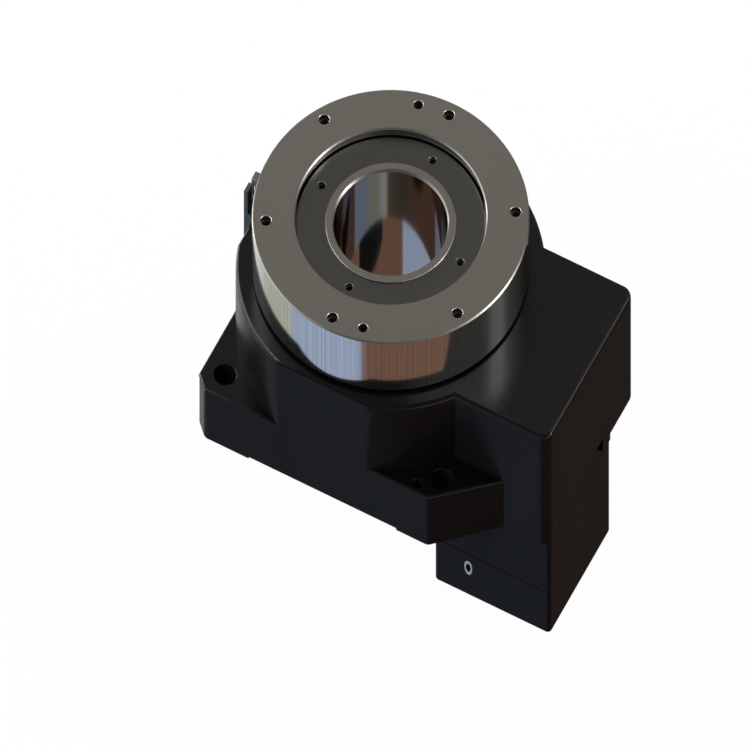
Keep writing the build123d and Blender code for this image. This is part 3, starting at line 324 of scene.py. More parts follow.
@cache
def blasted_grain():
    """Fine grain of a bead-blasted surface, with faint broad clouds from handling."""
    inputs = {"Grain Scale": 4200.0, "Cloud Scale": 46.0}
    tree, given, result = new_group("Blasted grain", inputs, ("Grain", "Cloud"))
    place = tree.add("ShaderNodeTexCoord").outputs["Object"]
    for socket, detail in (("Grain", 2.0), ("Cloud", 5.0)):
        values = {"Vector": place, "Scale": given.outputs[socket + " Scale"], "Detail": detail}
        tree.put(result, {socket: tree.add("ShaderNodeTexNoise", values).outputs["Fac"]})
    return tree.tree


@cache
def slopes():
    """Masks by the way a surface faces: level tops, and the rounds between tops and walls."""
    inputs = {"Top Slope": 0.985, "Edge Slope": 0.06, "Full Edge Slope": 0.18}
    tree, given, result = new_group("Slopes", inputs, ("Top", "Edge"))
    size = given.outputs
    facing = tree.parts(tree.add("ShaderNodeTexCoord").outputs["Normal"])["Z"]
    top = tree.ramp(facing, size["Top Slope"], 1.0)
    rising = tree.ramp(facing, size["Edge Slope"], size["Full Edge Slope"])
    edge = tree.times(rising, tree.minus(1.0, top))
    tree.put(result, {"Top": top, "Edge": edge})
    return tree.tree


def effect(tree, make_group, values=None):
    """Places a shared effect in a material with its own values."""
    return tree.add("ShaderNodeGroup", values, node_tree=make_group()).outputs


# Materials


def shader(name):
    """A new material, as (material, its tree, its Principled shader)."""
    made = bpy.data.materials.new(name)
    made.use_nodes = True
    return made, Tree(made.node_tree), made.node_tree.nodes["Principled BSDF"]


def tint(tree, base, factor, spread):
    """The base colour, made lighter and darker by a factor that runs from 0 to 1."""
    return tree.scale(base, tree.ramp(factor, 0.0, 1.0, 1.0 - spread, 1.0 + spread))


def highlight_colour(base, times):
    """A colour multiplied, for a lighter painted highlight on edges."""
    return [part * times for part in base]


def blend_colours(tree, factor, low, high):
    """A colour between two, by a factor."""
    values = {"Factor": factor}
    for key, value in ((6, low), (7, high)):
        values[key] = value if isinstance(value, bpy.types.NodeSocket) else (*value, 1.0)
    return tree.add("ShaderNodeMix", values, data_type="RGBA").outputs[2]


def bump(tree, height, strength, distance):
    """A normal from a height."""
    values = {"Height": height, "Strength": strength, "Distance": distance}
    return tree.add("ShaderNodeBump", values).outputs[0]


def anodised(name, wall, top, wall_level, top_level, edge_level):
    """Black anodised aluminium: grain, faint clouds, a sheen of its own on walls, tops and edges, and tops painted
    darker and warmer than the walls as painted shade.
    """
    made, tree, principled = shader(name)
    grain = effect(tree, blasted_grain)
    slope = effect(tree, slopes)
    level = tree.times(slope["Edge"], edge_level - wall_level, wall_level)
    rough = tree.times(grain["Cloud"], CLOUD_ROUGH, BLACK_ROUGH)
    # Faces that look up take the top colour, a painted shade darker than the walls
    shade = blend_colours(tree, slope["Top"], wall, top)
    looks = {
        "Metallic": 0.0,
        "Base Color": tint(tree, shade, grain["Cloud"], CLOUD_TINT),
        "Specular IOR Level": tree.times(slope["Top"], top_level - wall_level, level),
        "Roughness": tree.times(slope["Edge"], -EDGE_GLOSS, rough),
        "Normal": bump(tree, grain["Grain"], strength=0.05, distance=0.05 * MM),
    }
    tree.put(principled, looks)
    return made


def turned_steel(name, face, wall, centre=(0.0, 0.0), face_rough=0.36, wall_rough=0.10, streak=0.22):
    """Steel off the lathe: satin rings on the faces and a polished wall with streaks along it."""
    made, tree, principled = shader(name)
    marks = effect(tree, turning_marks, {"Centre X": centre[0], "Centre Y": centre[1]})
    up = marks["Facing Up"]
    face_shade = tint(tree, face, marks["Ring"], RING_TINT)
    # On a wall the streak tone is partly the steel's own streaks and partly painted reflection streaks, strongest
    # on the table's wall and the tube's bore.
    wall_shade = tint(tree, wall, marks["Streak"], streak)
    face_gloss = tree.times(marks["Ring"], RING_ROUGH, face_rough)
    wall_gloss = tree.times(marks["Streak"], STREAK_ROUGH, wall_rough)
    spread = tree.minus(face_gloss, wall_gloss)
    looks = {
        "Metallic": 1.0,
        "Base Color": blend_colours(tree, up, wall_shade, face_shade),
        "Roughness": tree.times(spread, up, wall_gloss),
        "Normal": bump(tree, tree.times(marks["Ring"], up), strength=0.10, distance=0.02 * MM),
    }
    tree.put(principled, looks)
    return made


def grained(name, base, rough, constants, grain_scale, cloud_scale, spread, strength, depth):
    """An even surface with a fine grain, and clouds that change its colour and gloss a little."""
    made, tree, principled = shader(name)
    grain = effect(tree, blasted_grain, {"Grain Scale": grain_scale, "Cloud Scale": cloud_scale})
    looks = {
        "Base Color": tint(tree, base, grain["Cloud"], spread),
        "Roughness": tree.times(grain["Cloud"], spread, rough),
        "Normal": bump(tree, grain["Grain"], strength, depth),
    }
    tree.put(principled, constants | looks)
    return made


def plain_metal(name, base, rough):
    """Small steel pieces."""
    grain = {"grain_scale": 2600.0, "cloud_scale": 160.0, "strength": 0.08, "depth": 0.02 * MM}
    return grained(name, base, rough, {"Metallic": 1.0}, spread=0.15, **grain)


def moulded(name, base, rough, specular=0.4):
    """Plastic and rubber."""
    grain = {"grain_scale": 3000.0, "cloud_scale": 120.0, "strength": 0.15, "depth": 0.03 * MM}
    constants = {"Metallic": 0.0, "Specular IOR Level": specular}
    return grained(name, base, rough, constants, spread=0.2, **grain)


FINISHES = {}


def make_finishes():
    """All finishes by name, from the colours in the panel."""
    base = bpy.context.scene.platform_colours
    axis = next(joint["pos_m"] for joint in frame["joints"] if joint["name"] == "pinion_spin")[:2]
    FINISHES.update(
        housing=anodised("black_anodised", base.housing, base.housing_top_painted_shade, 0.13, 0.06, 0.16),
        seam=moulded("black_seam", base.housing_top_painted_shade, 0.5, 0.05),
        # The table's face and the tube's rim take painted-shade colours, darker than their walls of the same
        # steel.
        table=turned_steel("table_steel", base.table_face_painted_shade, base.table_wall, streak=0.45),
        # Each edge finish below is lighter than its piece's own finish: a painted highlight along the rounded
        # edges.
        table_edge=turned_steel("table_steel_edge", TABLE_EDGE_FACE_HIGHLIGHT, TABLE_EDGE_WALL_HIGHLIGHT, face_rough=0.2),
        flange=turned_steel("flange_steel", base.flange, base.flange, wall_rough=0.3),
        flange_edge=turned_steel("flange_steel_edge", FLANGE_EDGE_HIGHLIGHT, FLANGE_EDGE_HIGHLIGHT),
        tube=turned_steel("tube_steel", base.tube_rim_painted_shade, base.tube_bore, wall_rough=0.05, streak=0.30),
        tube_edge=turned_steel("tube_steel_edge", TUBE_EDGE_HIGHLIGHT, TUBE_EDGE_HIGHLIGHT, face_rough=0.2),
        bearing=turned_steel("bearing_steel", base.bearing, base.bearing, face_rough=0.18),
        gear=turned_steel("gear_steel", base.gear, base.gear, face_rough=0.32, wall_rough=0.24),
        pinion=turned_steel("pinion_steel", base.gear, base.gear, axis, face_rough=0.3, wall_rough=0.22),
        pinion_bearing=turned_steel("pinion_bearing_steel", base.bearing, base.bearing, axis, 0.18),
        spring=plain_metal("spring_steel", base.spring, 0.42),
        bright=plain_metal("bright_zinc", base.bright, 0.26),
        bright_edge=plain_metal("bright_zinc_edge", highlight_colour(base.bright, 1.3), 0.2),
        flag=plain_metal("flag_steel", base.flag, 0.34),
        flag_edge=plain_metal("flag_steel_edge", highlight_colour(base.flag, 1.6), 0.3),
        # Hole walls and threads are painted shade: dark steel where the holes lie in shade.
        drilled=plain_metal("drilled_steel", HOLE_SHADE, 0.6),
        thread=plain_metal("thread_steel", HOLE_SHADE, 0.5),
        oxide=plain_metal("black_oxide", base.oxide, 0.4),
        rubber=moulded("seal_rubber", base.rubber, 0.6),
        spacer=moulded("spacer_plastic", base.spacer, 0.45),
        sensor=moulded("sensor_plastic", base.sensor, 0.38),
        sensor_edge=moulded("sensor_plastic_edge", highlight_colour(base.sensor, 2.0), 0.35),
    )


# Meshes and pieces


@contextmanager
def edited(data):
    """Opens a mesh for edits and writes it back."""
    built = bmesh.new()
    built.from_mesh(data)
    yield built
    built.to_mesh(data)
    built.free()


def merged_copy(node):
    """A CAD node's mesh with its loose triangles joined and its flat areas cleared of inner edges."""
    source = frame["nodes"][node].data
    copy = bpy.data.meshes.new(node + "_copy")
    copy.from_pydata([v.co for v in source.vertices], [], [p.vertices[:] for p in source.polygons])
    clean(copy)
    return copy


def clean(data):
    """Joins the loose corners of a mesh and clears its flat areas of inner edges."""
    with edited(data) as built:
        bmesh.ops.remove_doubles(built, verts=built.verts, dist=MERGE_DISTANCE)
        bmesh.ops.dissolve_limit(built, angle_limit=FLAT_ANGLE, verts=built.verts, edges=built.edges)


def link(name, data):
    """A new object in the scene."""
    made = bpy.data.objects.new(name, data)
    bpy.context.scene.collection.objects.link(made)
    return made


def evaluated_mesh(name, data, modify):
    """The mesh that a data block gives under the modifiers that modify adds."""
    holder = link(name, data)
    modify(holder)
    graph = bpy.context.evaluated_depsgraph_get()
    finished = bpy.data.meshes.new_from_object(holder.evaluated_get(graph))
    bpy.data.objects.remove(holder)
    return finished


def weigh_corners(built):
    """Marks the outward corners that are to be rounded."""
    weight = built.edges.layers.float.new(EDGE_WEIGHT)
    for edge in built.edges:
        if edge.calc_face_angle_signed(0.0) > BEVEL_ANGLE:
            edge[weight] = 1.0
    return weight


def rounded(data, name, width, edge_finish):
    """The mesh with its outward corners rounded, and the rounds in the edge finish, which on the steel, zinc, flag
    and sensor pieces is a lighter painted highlight.
    """
    data.materials.append(FINISHES[edge_finish])
    if EDGE_WEIGHT not in data.attributes:
        with edited(data) as built:
            weigh_corners(built)
    data.shade_smooth()
    data.set_sharp_from_angle(angle=SHARP_ANGLE)

    def modify(holder):
        bevel = holder.modifiers.new("Edge round", "BEVEL")
        bevel.width = width
        bevel.segments = bpy.context.scene.platform_sizes.edge_steps
        bevel.limit_method = "WEIGHT"
        bevel.use_clamp_overlap = False
        bevel.material = len(data.materials) - 1
        weighted = holder.modifiers.new("Flat shading", "WEIGHTED_NORMAL")
        weighted.keep_sharp = True

    return evaluated_mesh(name, data, modify)


def rounded_copy(node, name, width, finish, edge_finish):
    """A finished copy of a CAD node, its outward corners rounded in the edge finish."""
    data = merged_copy(node)
    data.materials.append(FINISHES[finish])
    return rounded(data, name, width, edge_finish)


def add_piece(name, data, body, slot, *nodes):
    """Links a finished mesh as a piece that rides on a body and stands for its nodes."""
    data.name = name
    made = link(name, data)
    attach(made, body)
    if nodes:
        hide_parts(*nodes)


def dress(node, name, width, finish, edge_finish, body, slot):
    """Puts a rounded copy of a CAD node in its place."""
    add_piece(name, rounded_copy(node, name, width, finish, edge_finish), body, slot, node)


def paint(finish, *nodes):
    """Gives CAD nodes a finish in place of their plain material."""
    for node in nodes:
        data = frame["nodes"][node].data
        data.materials.clear()
        data.materials.append(FINISHES[finish])


def islands(node):
    """The separate solids of a CAD node, each as (lowest corner, highest corner)."""
    boxes = []
    with edited(merged_copy(node)) as built:
        left = set(built.verts)
        while left:
            reached = [left.pop()]
            found = []
            while reached:
                vertex = reached.pop()
                found.append(vertex.co.copy())
                for edge in vertex.link_edges:
                    other = edge.other_vert(vertex)
                    if other in left:
                        left.remove(other)
                        reached.append(other)
            low = Vector(min(p[i] for p in found) for i in range(3))
            high = Vector(max(p[i] for p in found) for i in range(3))
            boxes.append((low, high))
    return sorted(boxes, key=lambda box: tuple(round(c, 5) for c in box[0]))


# Geometry node trees for what repeats and for the turned ring


def place_on_points(tree, given, shape):
    """Puts a shape on each point, turned to the point's facing, and gives it the material."""
    facing = tree.add("GeometryNodeInputNamedAttribute", {"Name": "facing"}, data_type="FLOAT_VECTOR")
    turn = tree.add("FunctionNodeAlignRotationToVector", {"Vector": facing.outputs[0]}, axis="Z")
    placed = tree.copies(given.outputs["Geometry"], shape, Rotation=turn.outputs[0])
    return tree.coat(placed, given.outputs["Material"])


def cap_screw_tree(values):
    """A socket-head screw on each point: chamfered head, hex socket and plain shank."""
    tree, given, result = new_group("Cap screw", values)
    size = given.outputs
    radius = size["Head Radius"]
    top = size["Head Height"]
    depth = size["Socket Depth"]
    chamfer = tree.times(top, CHAMFER_SHARE)
    straight = tree.minus(top, chamfer)
    head = tree.bar(radius, 0.0, straight, HEAD_SIDES)
    crown = tree.frustum(radius, tree.minus(radius, chamfer), straight, top, HEAD_SIDES)
    tip = tree.times(size["Shank Length"], -1.0)
    shank = tree.bar(size["Shank Radius"], tip, 0.0, HOLE_SIDES)
    floor = tree.times(depth, -1.0 - CUTTER_MARGIN, top)
    past_top = tree.times(depth, CUTTER_MARGIN, top)
    socket = tree.bar(size["Socket Radius"], floor, past_top, HEX_SIDES)
    solid = tree.combine("UNION", None, head, crown, shank)
    cut = tree.combine("DIFFERENCE", solid, socket)
    tree.put(result, {0: place_on_points(tree, given, cut)})
    return tree.tree


def thread_tree(values):
    """A helical thread on each point, running into the hole against the point's facing."""
    tree, given, result = new_group("Thread", values)
    size = given.outputs
    values = {"Resolution": THREAD_SIDES, "Rotations": size["Turns"], "Height": size["Run"]}
    values |= {"Start Radius": size["Radius"], "End Radius": size["Radius"]}
    helix = tree.add("GeometryNodeCurveSpiral", values)
    ridge = tree.add("GeometryNodeCurvePrimitiveCircle", {"Resolution": RIDGE_SIDES, "Radius": size["Depth"]})
    values = {"Curve": helix.outputs[0], "Profile Curve": ridge.outputs[0], "Fill Caps": True}
    swept = tree.add("GeometryNodeCurveToMesh", values)
    sunk = tree.move(swept.outputs[0], tree.vector(Z=tree.times(size["Run"], -1.0)))
    tree.put(result, {0: place_on_points(tree, given, sunk)})
    return tree.tree


def drilled_ring_tree(values):
    """A turned ring: chamfered rim, neck, hub and recess, with circles of holes and a seat on its side."""
    tree, given, result = new_group("Drilled ring", values)
    size = given.outputs

    def circle(name, pitch_circle, low, high):
        """A circle of cutters for the holes of that name."""
        count = size[name + " Count"]
        cutter = tree.bar(size[name + " Radius"], low, high, HOLE_SIDES)
        index = tree.add("GeometryNodeInputIndex").outputs[0]
        step = tree.math("DIVIDE", 2 * math.pi, count)
        angle = tree.times(index, step, size[name + " Start"])
        x = tree.times(pitch_circle, tree.math("COSINE", angle))
        y = tree.times(pitch_circle, tree.math("SINE", angle))
        spots = tree.add("GeometryNodePoints", {"Count": count, "Position": tree.vector(X=x, Y=y)})
        return tree.copies(spots.outputs[0], cutter)

    outer = size["Outer Radius"]
    edge = size["Edge"]
    top = size["Top"]
    rim_low = tree.math("ADD", size["Under"], edge)
    rim_high = tree.minus(top, edge)
    inset = tree.minus(outer, edge)
    past_top = tree.math("ADD", top, edge)
    past_foot = tree.minus(size["Foot"], edge)
    turned = tree.combine(
        "UNION",
        None,
        tree.frustum(inset, outer, size["Under"], rim_low),
        tree.bar(outer, rim_low, rim_high),
        tree.frustum(outer, inset, rim_high, top),
        tree.bar(size["Neck Radius"], size["Neck Foot"], size["Under"]),
        tree.bar(size["Hub Radius"], size["Foot"], size["Neck Foot"]),
    )

    # The flare runs on at 45 degrees past the top
    flare = tree.times(edge, 2.0, size["Recess Radius"])
    seat_height = tree.minus(size["Seat High"], size["Seat Low"])
    seat_depth = tree.times(size["Seat Depth"], 2.0)
    seat_size = tree.vector(X=seat_depth, Y=size["Seat Width"], Z=seat_height)
    seat_middle = tree.times(seat_height, 0.5, size["Seat Low"])
    seat_place = tree.vector(X=tree.times(outer, -1.0), Z=seat_middle)
    seat = tree.add("GeometryNodeMeshCube", {"Size": seat_size}).outputs["Mesh"]
    drilled = tree.combine(
        "DIFFERENCE",
        turned,
        tree.bar(size["Bore Radius"], past_foot, past_top),
        tree.bar(size["Recess Radius"], size["Recess Floor"], past_top),
        tree.frustum(size["Recess Radius"], flare, rim_high, past_top),
        circle("Bolt", size["Hole Circle"], size["Hole Floor"], past_top),
        circle("Pin", size["Hole Circle"], size["Hole Floor"], past_top),
        circle("Screw", size["Screw Circle"], past_foot, size["Screw Top"]),
        tree.move(seat, seat_place),
    )

    # Upright faces within a bolt's radius of the circle are walls of holes, which take a dark painted shade
    place = tree.parts(tree.add("GeometryNodeInputPosition").outputs[0])
    facing = tree.parts(tree.add("GeometryNodeInputNormal").outputs[0])
    across = tree.times(place["X"], place["X"], tree.times(place["Y"], place["Y"]))
    reach = tree.math("ABSOLUTE", tree.minus(tree.math("SQRT", across), size["Hole Circle"]))
    in_hole = tree.math("LESS_THAN", reach, size["Bolt Radius"])
    upright = tree.math("LESS_THAN", tree.math("ABSOLUTE", facing["Z"]), UPRIGHT_SLOPE)
    coated = tree.coat(tree.real(drilled), size["Material"])
    walls = tree.times(in_hole, upright)
    tree.put(result, {0: tree.coat(coated, size["Hole Material"], Selection=walls)})
    return tree.tree


def turned_corners(node):
    """Corners of a turned node's section, as (radius, height): places that a ring of vertices shares."""
    rings = Counter()
    for vertex in merged_copy(node).vertices:
        radius = math.hypot(vertex.co.x, vertex.co.y)
        rings[round(radius, ROUNDING), round(vertex.co.z, ROUNDING)] += 1
    return [corner for corner, count in rings.items() if count >= RING_CORNERS]


def near(first, second):
    """Whether two lengths agree."""
    return abs(first - second) < NEAR


TREES = {}


def grow(name, make_tree, points, facing, values):
    """A plain mesh from a geometry tree on points that face one way; the tree is made on its first use."""
    if make_tree not in TREES:
        TREES[make_tree] = make_tree(values)
    data = bpy.data.meshes.new(name + "_points")
    data.from_pydata(points, [], [])
    for item in data.attributes.new("facing", "FLOAT_VECTOR", "POINT").data:
        item.vector = facing

    def modify(holder):
        modifier = holder.modifiers.new(name, "NODES")
        modifier.node_group = TREES[make_tree]
        for item in modifier.node_group.interface.items_tree:
            if item.name in values:
                modifier[item.identifier] = values[item.name]

    finished = evaluated_mesh(name, data, modify)
    finished.shade_smooth()
    finished.set_sharp_from_angle(angle=SHARP_ANGLE)
    return finished


# Operators, one for each piece or group of like pieces


class PlatformOperator:
    """Shared settings of the platform's operators."""

    bl_options = {"REGISTER"}

    @property
    def sizes(self):
        return bpy.context.scene.platform_sizes


class PLATFORM_OT_finishes(PlatformOperator, bpy.types.Operator):
    """Makes every finish and paints the inner works, which keep their CAD shapes"""

    bl_idname = "platform.finishes"
    bl_label = "Finishes and inner works"

    def execute(self, context):
        make_finishes()
        paint("bearing", "bearing_inner_ring", "bearing_outer_ring_upper", "bearing_outer_ring_lower")
        paint("bearing", "bearing_rollers")
        paint("spacer", "bearing_spacers")
        paint("spring", "bearing_snap_ring", "pinion_circlip")
        paint("rubber", "table_seal", "shaft_seal")
        paint("gear", "driven_gear")
        paint("pinion", "pinion_shaft", "clamp_collar")
        for place in ("upper", "lower"):
            for part in ("bearing_inner", "bearing_outer", "rollers"):
                paint("pinion_bearing", f"{place}_pinion_{part}")
        return {"FINISHED"}


class PLATFORM_OT_housing(PlatformOperator, bpy.types.Operator):
    """Black housing with rounded edges"""

    bl_idname = "platform.housing"
    bl_label = "Housing"

    LEAST_CORNER = math.radians(20)
    CORNER_STEPS = 6

    def round_corners(self, data):
        """Rounds the upright corners of the four ears, after marking the other edges for their own round."""
        ear_top = MOUNTS["base_dowel_front"]["dims"]["length_mm"] * MM
        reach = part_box("housing")[1].y
        with edited(data) as built:
            weight = weigh_corners(built)
            corners = []
            for edge in built.edges:
                first, second = (vertex.co for vertex in edge.verts)
                upright = near(first.x, second.x) and near(first.y, second.y)
                on_ear = math.hypot(first.x, first.y) > reach and ear_top / 2 < edge.calc_length() < ear_top
                if upright and on_ear and edge.calc_face_angle_signed(0.0) > self.LEAST_CORNER:
                    edge[weight] = 0.0
                    corners.append(edge)
            values = {"offset": self.sizes.ear_corner, "segments": self.CORNER_STEPS, "profile": 0.5}
            bmesh.ops.bevel(built, geom=corners, affect="EDGES", **values)

    def execute(self, context):
        data = merged_copy("housing")
        data.materials.append(FINISHES["housing"])
        self.round_corners(data)
        data = rounded(data, "housing_shell", self.sizes.cast_edge, "housing")
        add_piece("housing_shell", data, "base", "housing_black", "housing")
        edge = self.sizes.small_edge
        dress("bottom_cover", "cover_plate", edge, "housing", "housing", "base", "cover_black")
        return {"FINISHED"}


class PLATFORM_OT_table(PlatformOperator, bpy.types.Operator):
    """Steel table ring, turned and drilled to the sizes that the frame gives"""

    bl_idname = "platform.table"
    bl_label = "Rotary table"

    def section(self):
        """Sizes of the turned section, read from the corners of the frame's own table."""
        corners = turned_corners("rotary_table")

        def radii(height):
            return [r for r, z in corners if near(z, height)]

        def heights(radius):
            return [z for r, z in corners if near(r, radius)]

        foot = min(z for r, z in corners)
        top = max(z for r, z in corners)
        outer = max(r for r, z in corners)
        wall = heights(outer)
        edge = top - max(wall)
        under = min(wall) - edge
        recess = min(radii(top)) - edge
        neck = min(radii(under))
        return {
            "Outer Radius": outer,
            "Edge": edge,
            "Top": top,
            "Under": under,
            "Neck Radius": neck,
            "Neck Foot": min(heights(neck)),
            "Hub Radius": max(radii(foot)),
            "Foot": foot,
            "Bore Radius": min(r for r, z in corners),
            "Recess Radius": recess,
            "Recess Floor": min(heights(recess)),
        }

    def holes(self, top):
        """Circles of tapped holes and pin holes, from the mounts, and of screws below, from their node."""
        bolts = MOUNTS["table_bolts"]["dims"]
        pin = MOUNTS["table_dowel_back"]
        screws = islands("gear_screws")
        low, high = screws[0]
        middle = (low + high) / 2
        return {
            "Hole Circle": bolts["pcd_mm"] / 2 * MM,
            "Hole Floor": top - pin["dims"]["length_mm"] * MM,
            "Bolt Count": bolts["count"],
            "Bolt Radius": bolts["hole_r_mm"] * MM,
            "Bolt Start": math.radians(FIRST_HOLE["table_bolts"]),
            "Pin Count": 2,
            "Pin Radius": pin["dims"]["r_mm"] * MM,
            "Pin Start": math.atan2(pin["pos_m"][1], pin["pos_m"][0]),
            "Screw Count": len(screws),
            "Screw Circle": math.hypot(middle.x, middle.y),
            "Screw Radius": (high.x - low.x) / 2 / CAP_HEAD_RATIO,
            "Screw Start": math.atan2(middle.y, middle.x),
            "Screw Top": high.z,
        }

    def seat(self, outer):
        """The small flat on the side that carries the flag."""
        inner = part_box("sensor_flag")[1].x
        flat = [v.co for v in frame["nodes"]["rotary_table"].data.vertices if near(v.co.x, inner)]
        return {
            "Seat Depth": outer + inner,
            "Seat Width": max(p.y for p in flat) - min(p.y for p in flat),
            "Seat Low": min(p.z for p in flat),
            "Seat High": max(p.z for p in flat),
        }

    def execute(self, context):
        values = self.section()
        values |= self.holes(values["Top"])
        values |= self.seat(values["Outer Radius"])
        values |= {"Material": FINISHES["table"], "Hole Material": FINISHES["drilled"]}
        data = grow("table_ring", drilled_ring_tree, [Vector()], Vector((0, 0, 1)), values)
        clean(data)
        data = rounded(data, "table_ring", self.sizes.turned_edge, "table_edge")
        add_piece("table_ring", data, "table", "table_steel", "rotary_table")
        return {"FINISHED"}


class PLATFORM_OT_centre(PlatformOperator, bpy.types.Operator):
    """Fixed pieces inside the table: the dark disc and the centre tube"""

    bl_idname = "platform.centre"
    bl_label = "Inner flange and tube"

    def execute(self, context):
        edge = self.sizes.turned_edge
        dress("inner_flange", "flange_disc", edge, "flange", "flange_edge", "base", "flange_grey")
        dress("centre_tube", "tube_sleeve", edge, "tube", "tube_edge", "base", "tube_steel")
        return {"FINISHED"}


class PLATFORM_OT_motor_mount(PlatformOperator, bpy.types.Operator):
    """Square motor adapter, motor flange and the bright access plug"""

    bl_idname = "platform.motor_mount"
    bl_label = "Motor mount"

    def execute(self, context):
        sizes = self.sizes
        dress("motor_adapter", "adapter_block", sizes.flush_edge, "housing", "seam", "base", "housing_black")
        dress("motor_flange", "flange_block", sizes.seam_edge, "housing", "seam", "base", "housing_black")
        data = rounded_copy("access_plug", "plug_screw", sizes.small_edge, "bright", "bright_edge")
        # The plug's faces behind its front take the darker flag steel: painted shade in the hex socket and on the
        # sides, against the bright zinc front.
        data.materials.append(FINISHES["flag"])
        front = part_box("access_plug")[0].y + 2 * sizes.small_edge
        for face in data.polygons:
            if face.center.y > front:
                face.material_index = len(data.materials) - 1
        add_piece("plug_screw", data, "base", "screw_bright", "access_plug")
        return {"FINISHED"}


class PLATFORM_OT_home_sensor(PlatformOperator, bpy.types.Operator):
    """Slot sensor on the housing and the bent flag on the table"""

    bl_idname = "platform.home_sensor"
    bl_label = "Home sensor and flag"

    def execute(self, context):
        edge = self.sizes.small_edge
        dress("sensor_body", "sensor_shell", edge, "sensor", "sensor_edge", "base", "sensor_plastic")
        dress("sensor_flag", "flag_strip", edge, "flag", "flag_edge", "table", "screw_bright")
        return {"FINISHED"}


class PLATFORM_OT_screws(PlatformOperator, bpy.types.Operator):
    """Socket-head screws of every group, on the seats that the frame gives"""

    bl_idname = "platform.screws"
    bl_label = "Screws"

    GROUPS = (
        ("gear_screws", "table", (0, 0, -1), "oxide", "screw_black"),
        ("adapter_screws", "base", (0, 0, -1), "oxide", "screw_black"),
        ("flange_screws", "base", (0, 0, -1), "oxide", "screw_black"),
        ("clamp_screw", "pinion", (0, -1, 0), "oxide", "screw_black"),
        ("sensor_screws", "base", (-1, 0, 0), "bright", "screw_bright"),
        ("flag_screw", "table", (-1, 0, 0), "bright", "screw_bright"),
    )
    SOCKET_RATIO = 0.8
    SOCKET_DEPTH_RATIO = 0.5
    SHANK_RATIO = 0.965

    def execute(self, context):
        for node, body, facing, finish, slot in self.GROUPS:
            facing = Vector(facing)
            boxes = islands(node)
            low, high = boxes[0]
            across = sorted(high - low)[0]
            thread = across / CAP_HEAD_RATIO
            length = max(high - low) - thread
            seats = []
            for low, high in boxes:
                middle = (low + high) / 2
                tip = max(high - low) / 2
                seats.append(middle + facing * (tip - thread))
            values = {
                "Head Radius": across / 2,
                "Head Height": thread,
                "Socket Radius": self.SOCKET_RATIO * thread / 2 / math.cos(math.pi / 6),
                "Socket Depth": self.SOCKET_DEPTH_RATIO * thread,
                "Shank Radius": self.SHANK_RATIO * thread / 2,
                "Shank Length": length,
                "Material": FINISHES[finish],
            }
            data = grow(node, cap_screw_tree, seats, facing, values)
            add_piece("turned_" + node, data, body, slot, node)
        edge = self.sizes.screw_edge
        dress("cover_screws", "turned_cover_screws", edge, "oxide", "oxide", "base", "screw_black")
        return {"FINISHED"}


class PLATFORM_OT_threads(PlatformOperator, bpy.types.Operator):
    """Helical threads in the tapped holes of the table and the inner flange"""

    bl_idname = "platform.threads"
    bl_label = "Threads"

    def execute(self, context):
        sizes = self.sizes
        groups = (
            ("table", "table", "table_steel", sizes.table_thread, sizes.thread_run),
            ("inner_flange", "base", "flange_grey", sizes.flange_thread, sizes.flange_run),
        )
        for part, body, slot, pitch, run in groups:
            mount = part + "_bolts"
            name = part.removeprefix("inner_") + "_threads"
            place = Vector(MOUNTS[mount]["pos_m"])
            facing = Vector(MOUNTS[mount]["axis"])
            dims = MOUNTS[mount]["dims"]
            spots = []
            for hole in range(dims["count"]):
                angle = math.radians(FIRST_HOLE[mount] + 360 * hole / dims["count"])
                spoke = Vector((math.cos(angle), math.sin(angle), 0)) * dims["pcd_mm"] / 2 * MM
                spots.append(place + spoke - facing * pitch)
            values = {
                "Turns": run / pitch,
                "Run": run - pitch,
                "Radius": dims["hole_r_mm"] * MM,
                "Depth": sizes.thread_depth,
                "Material": FINISHES["thread"],
            }
            data = grow(name, thread_tree, spots, facing, values)
            add_piece(name, data, body, slot)
        return {"FINISHED"}


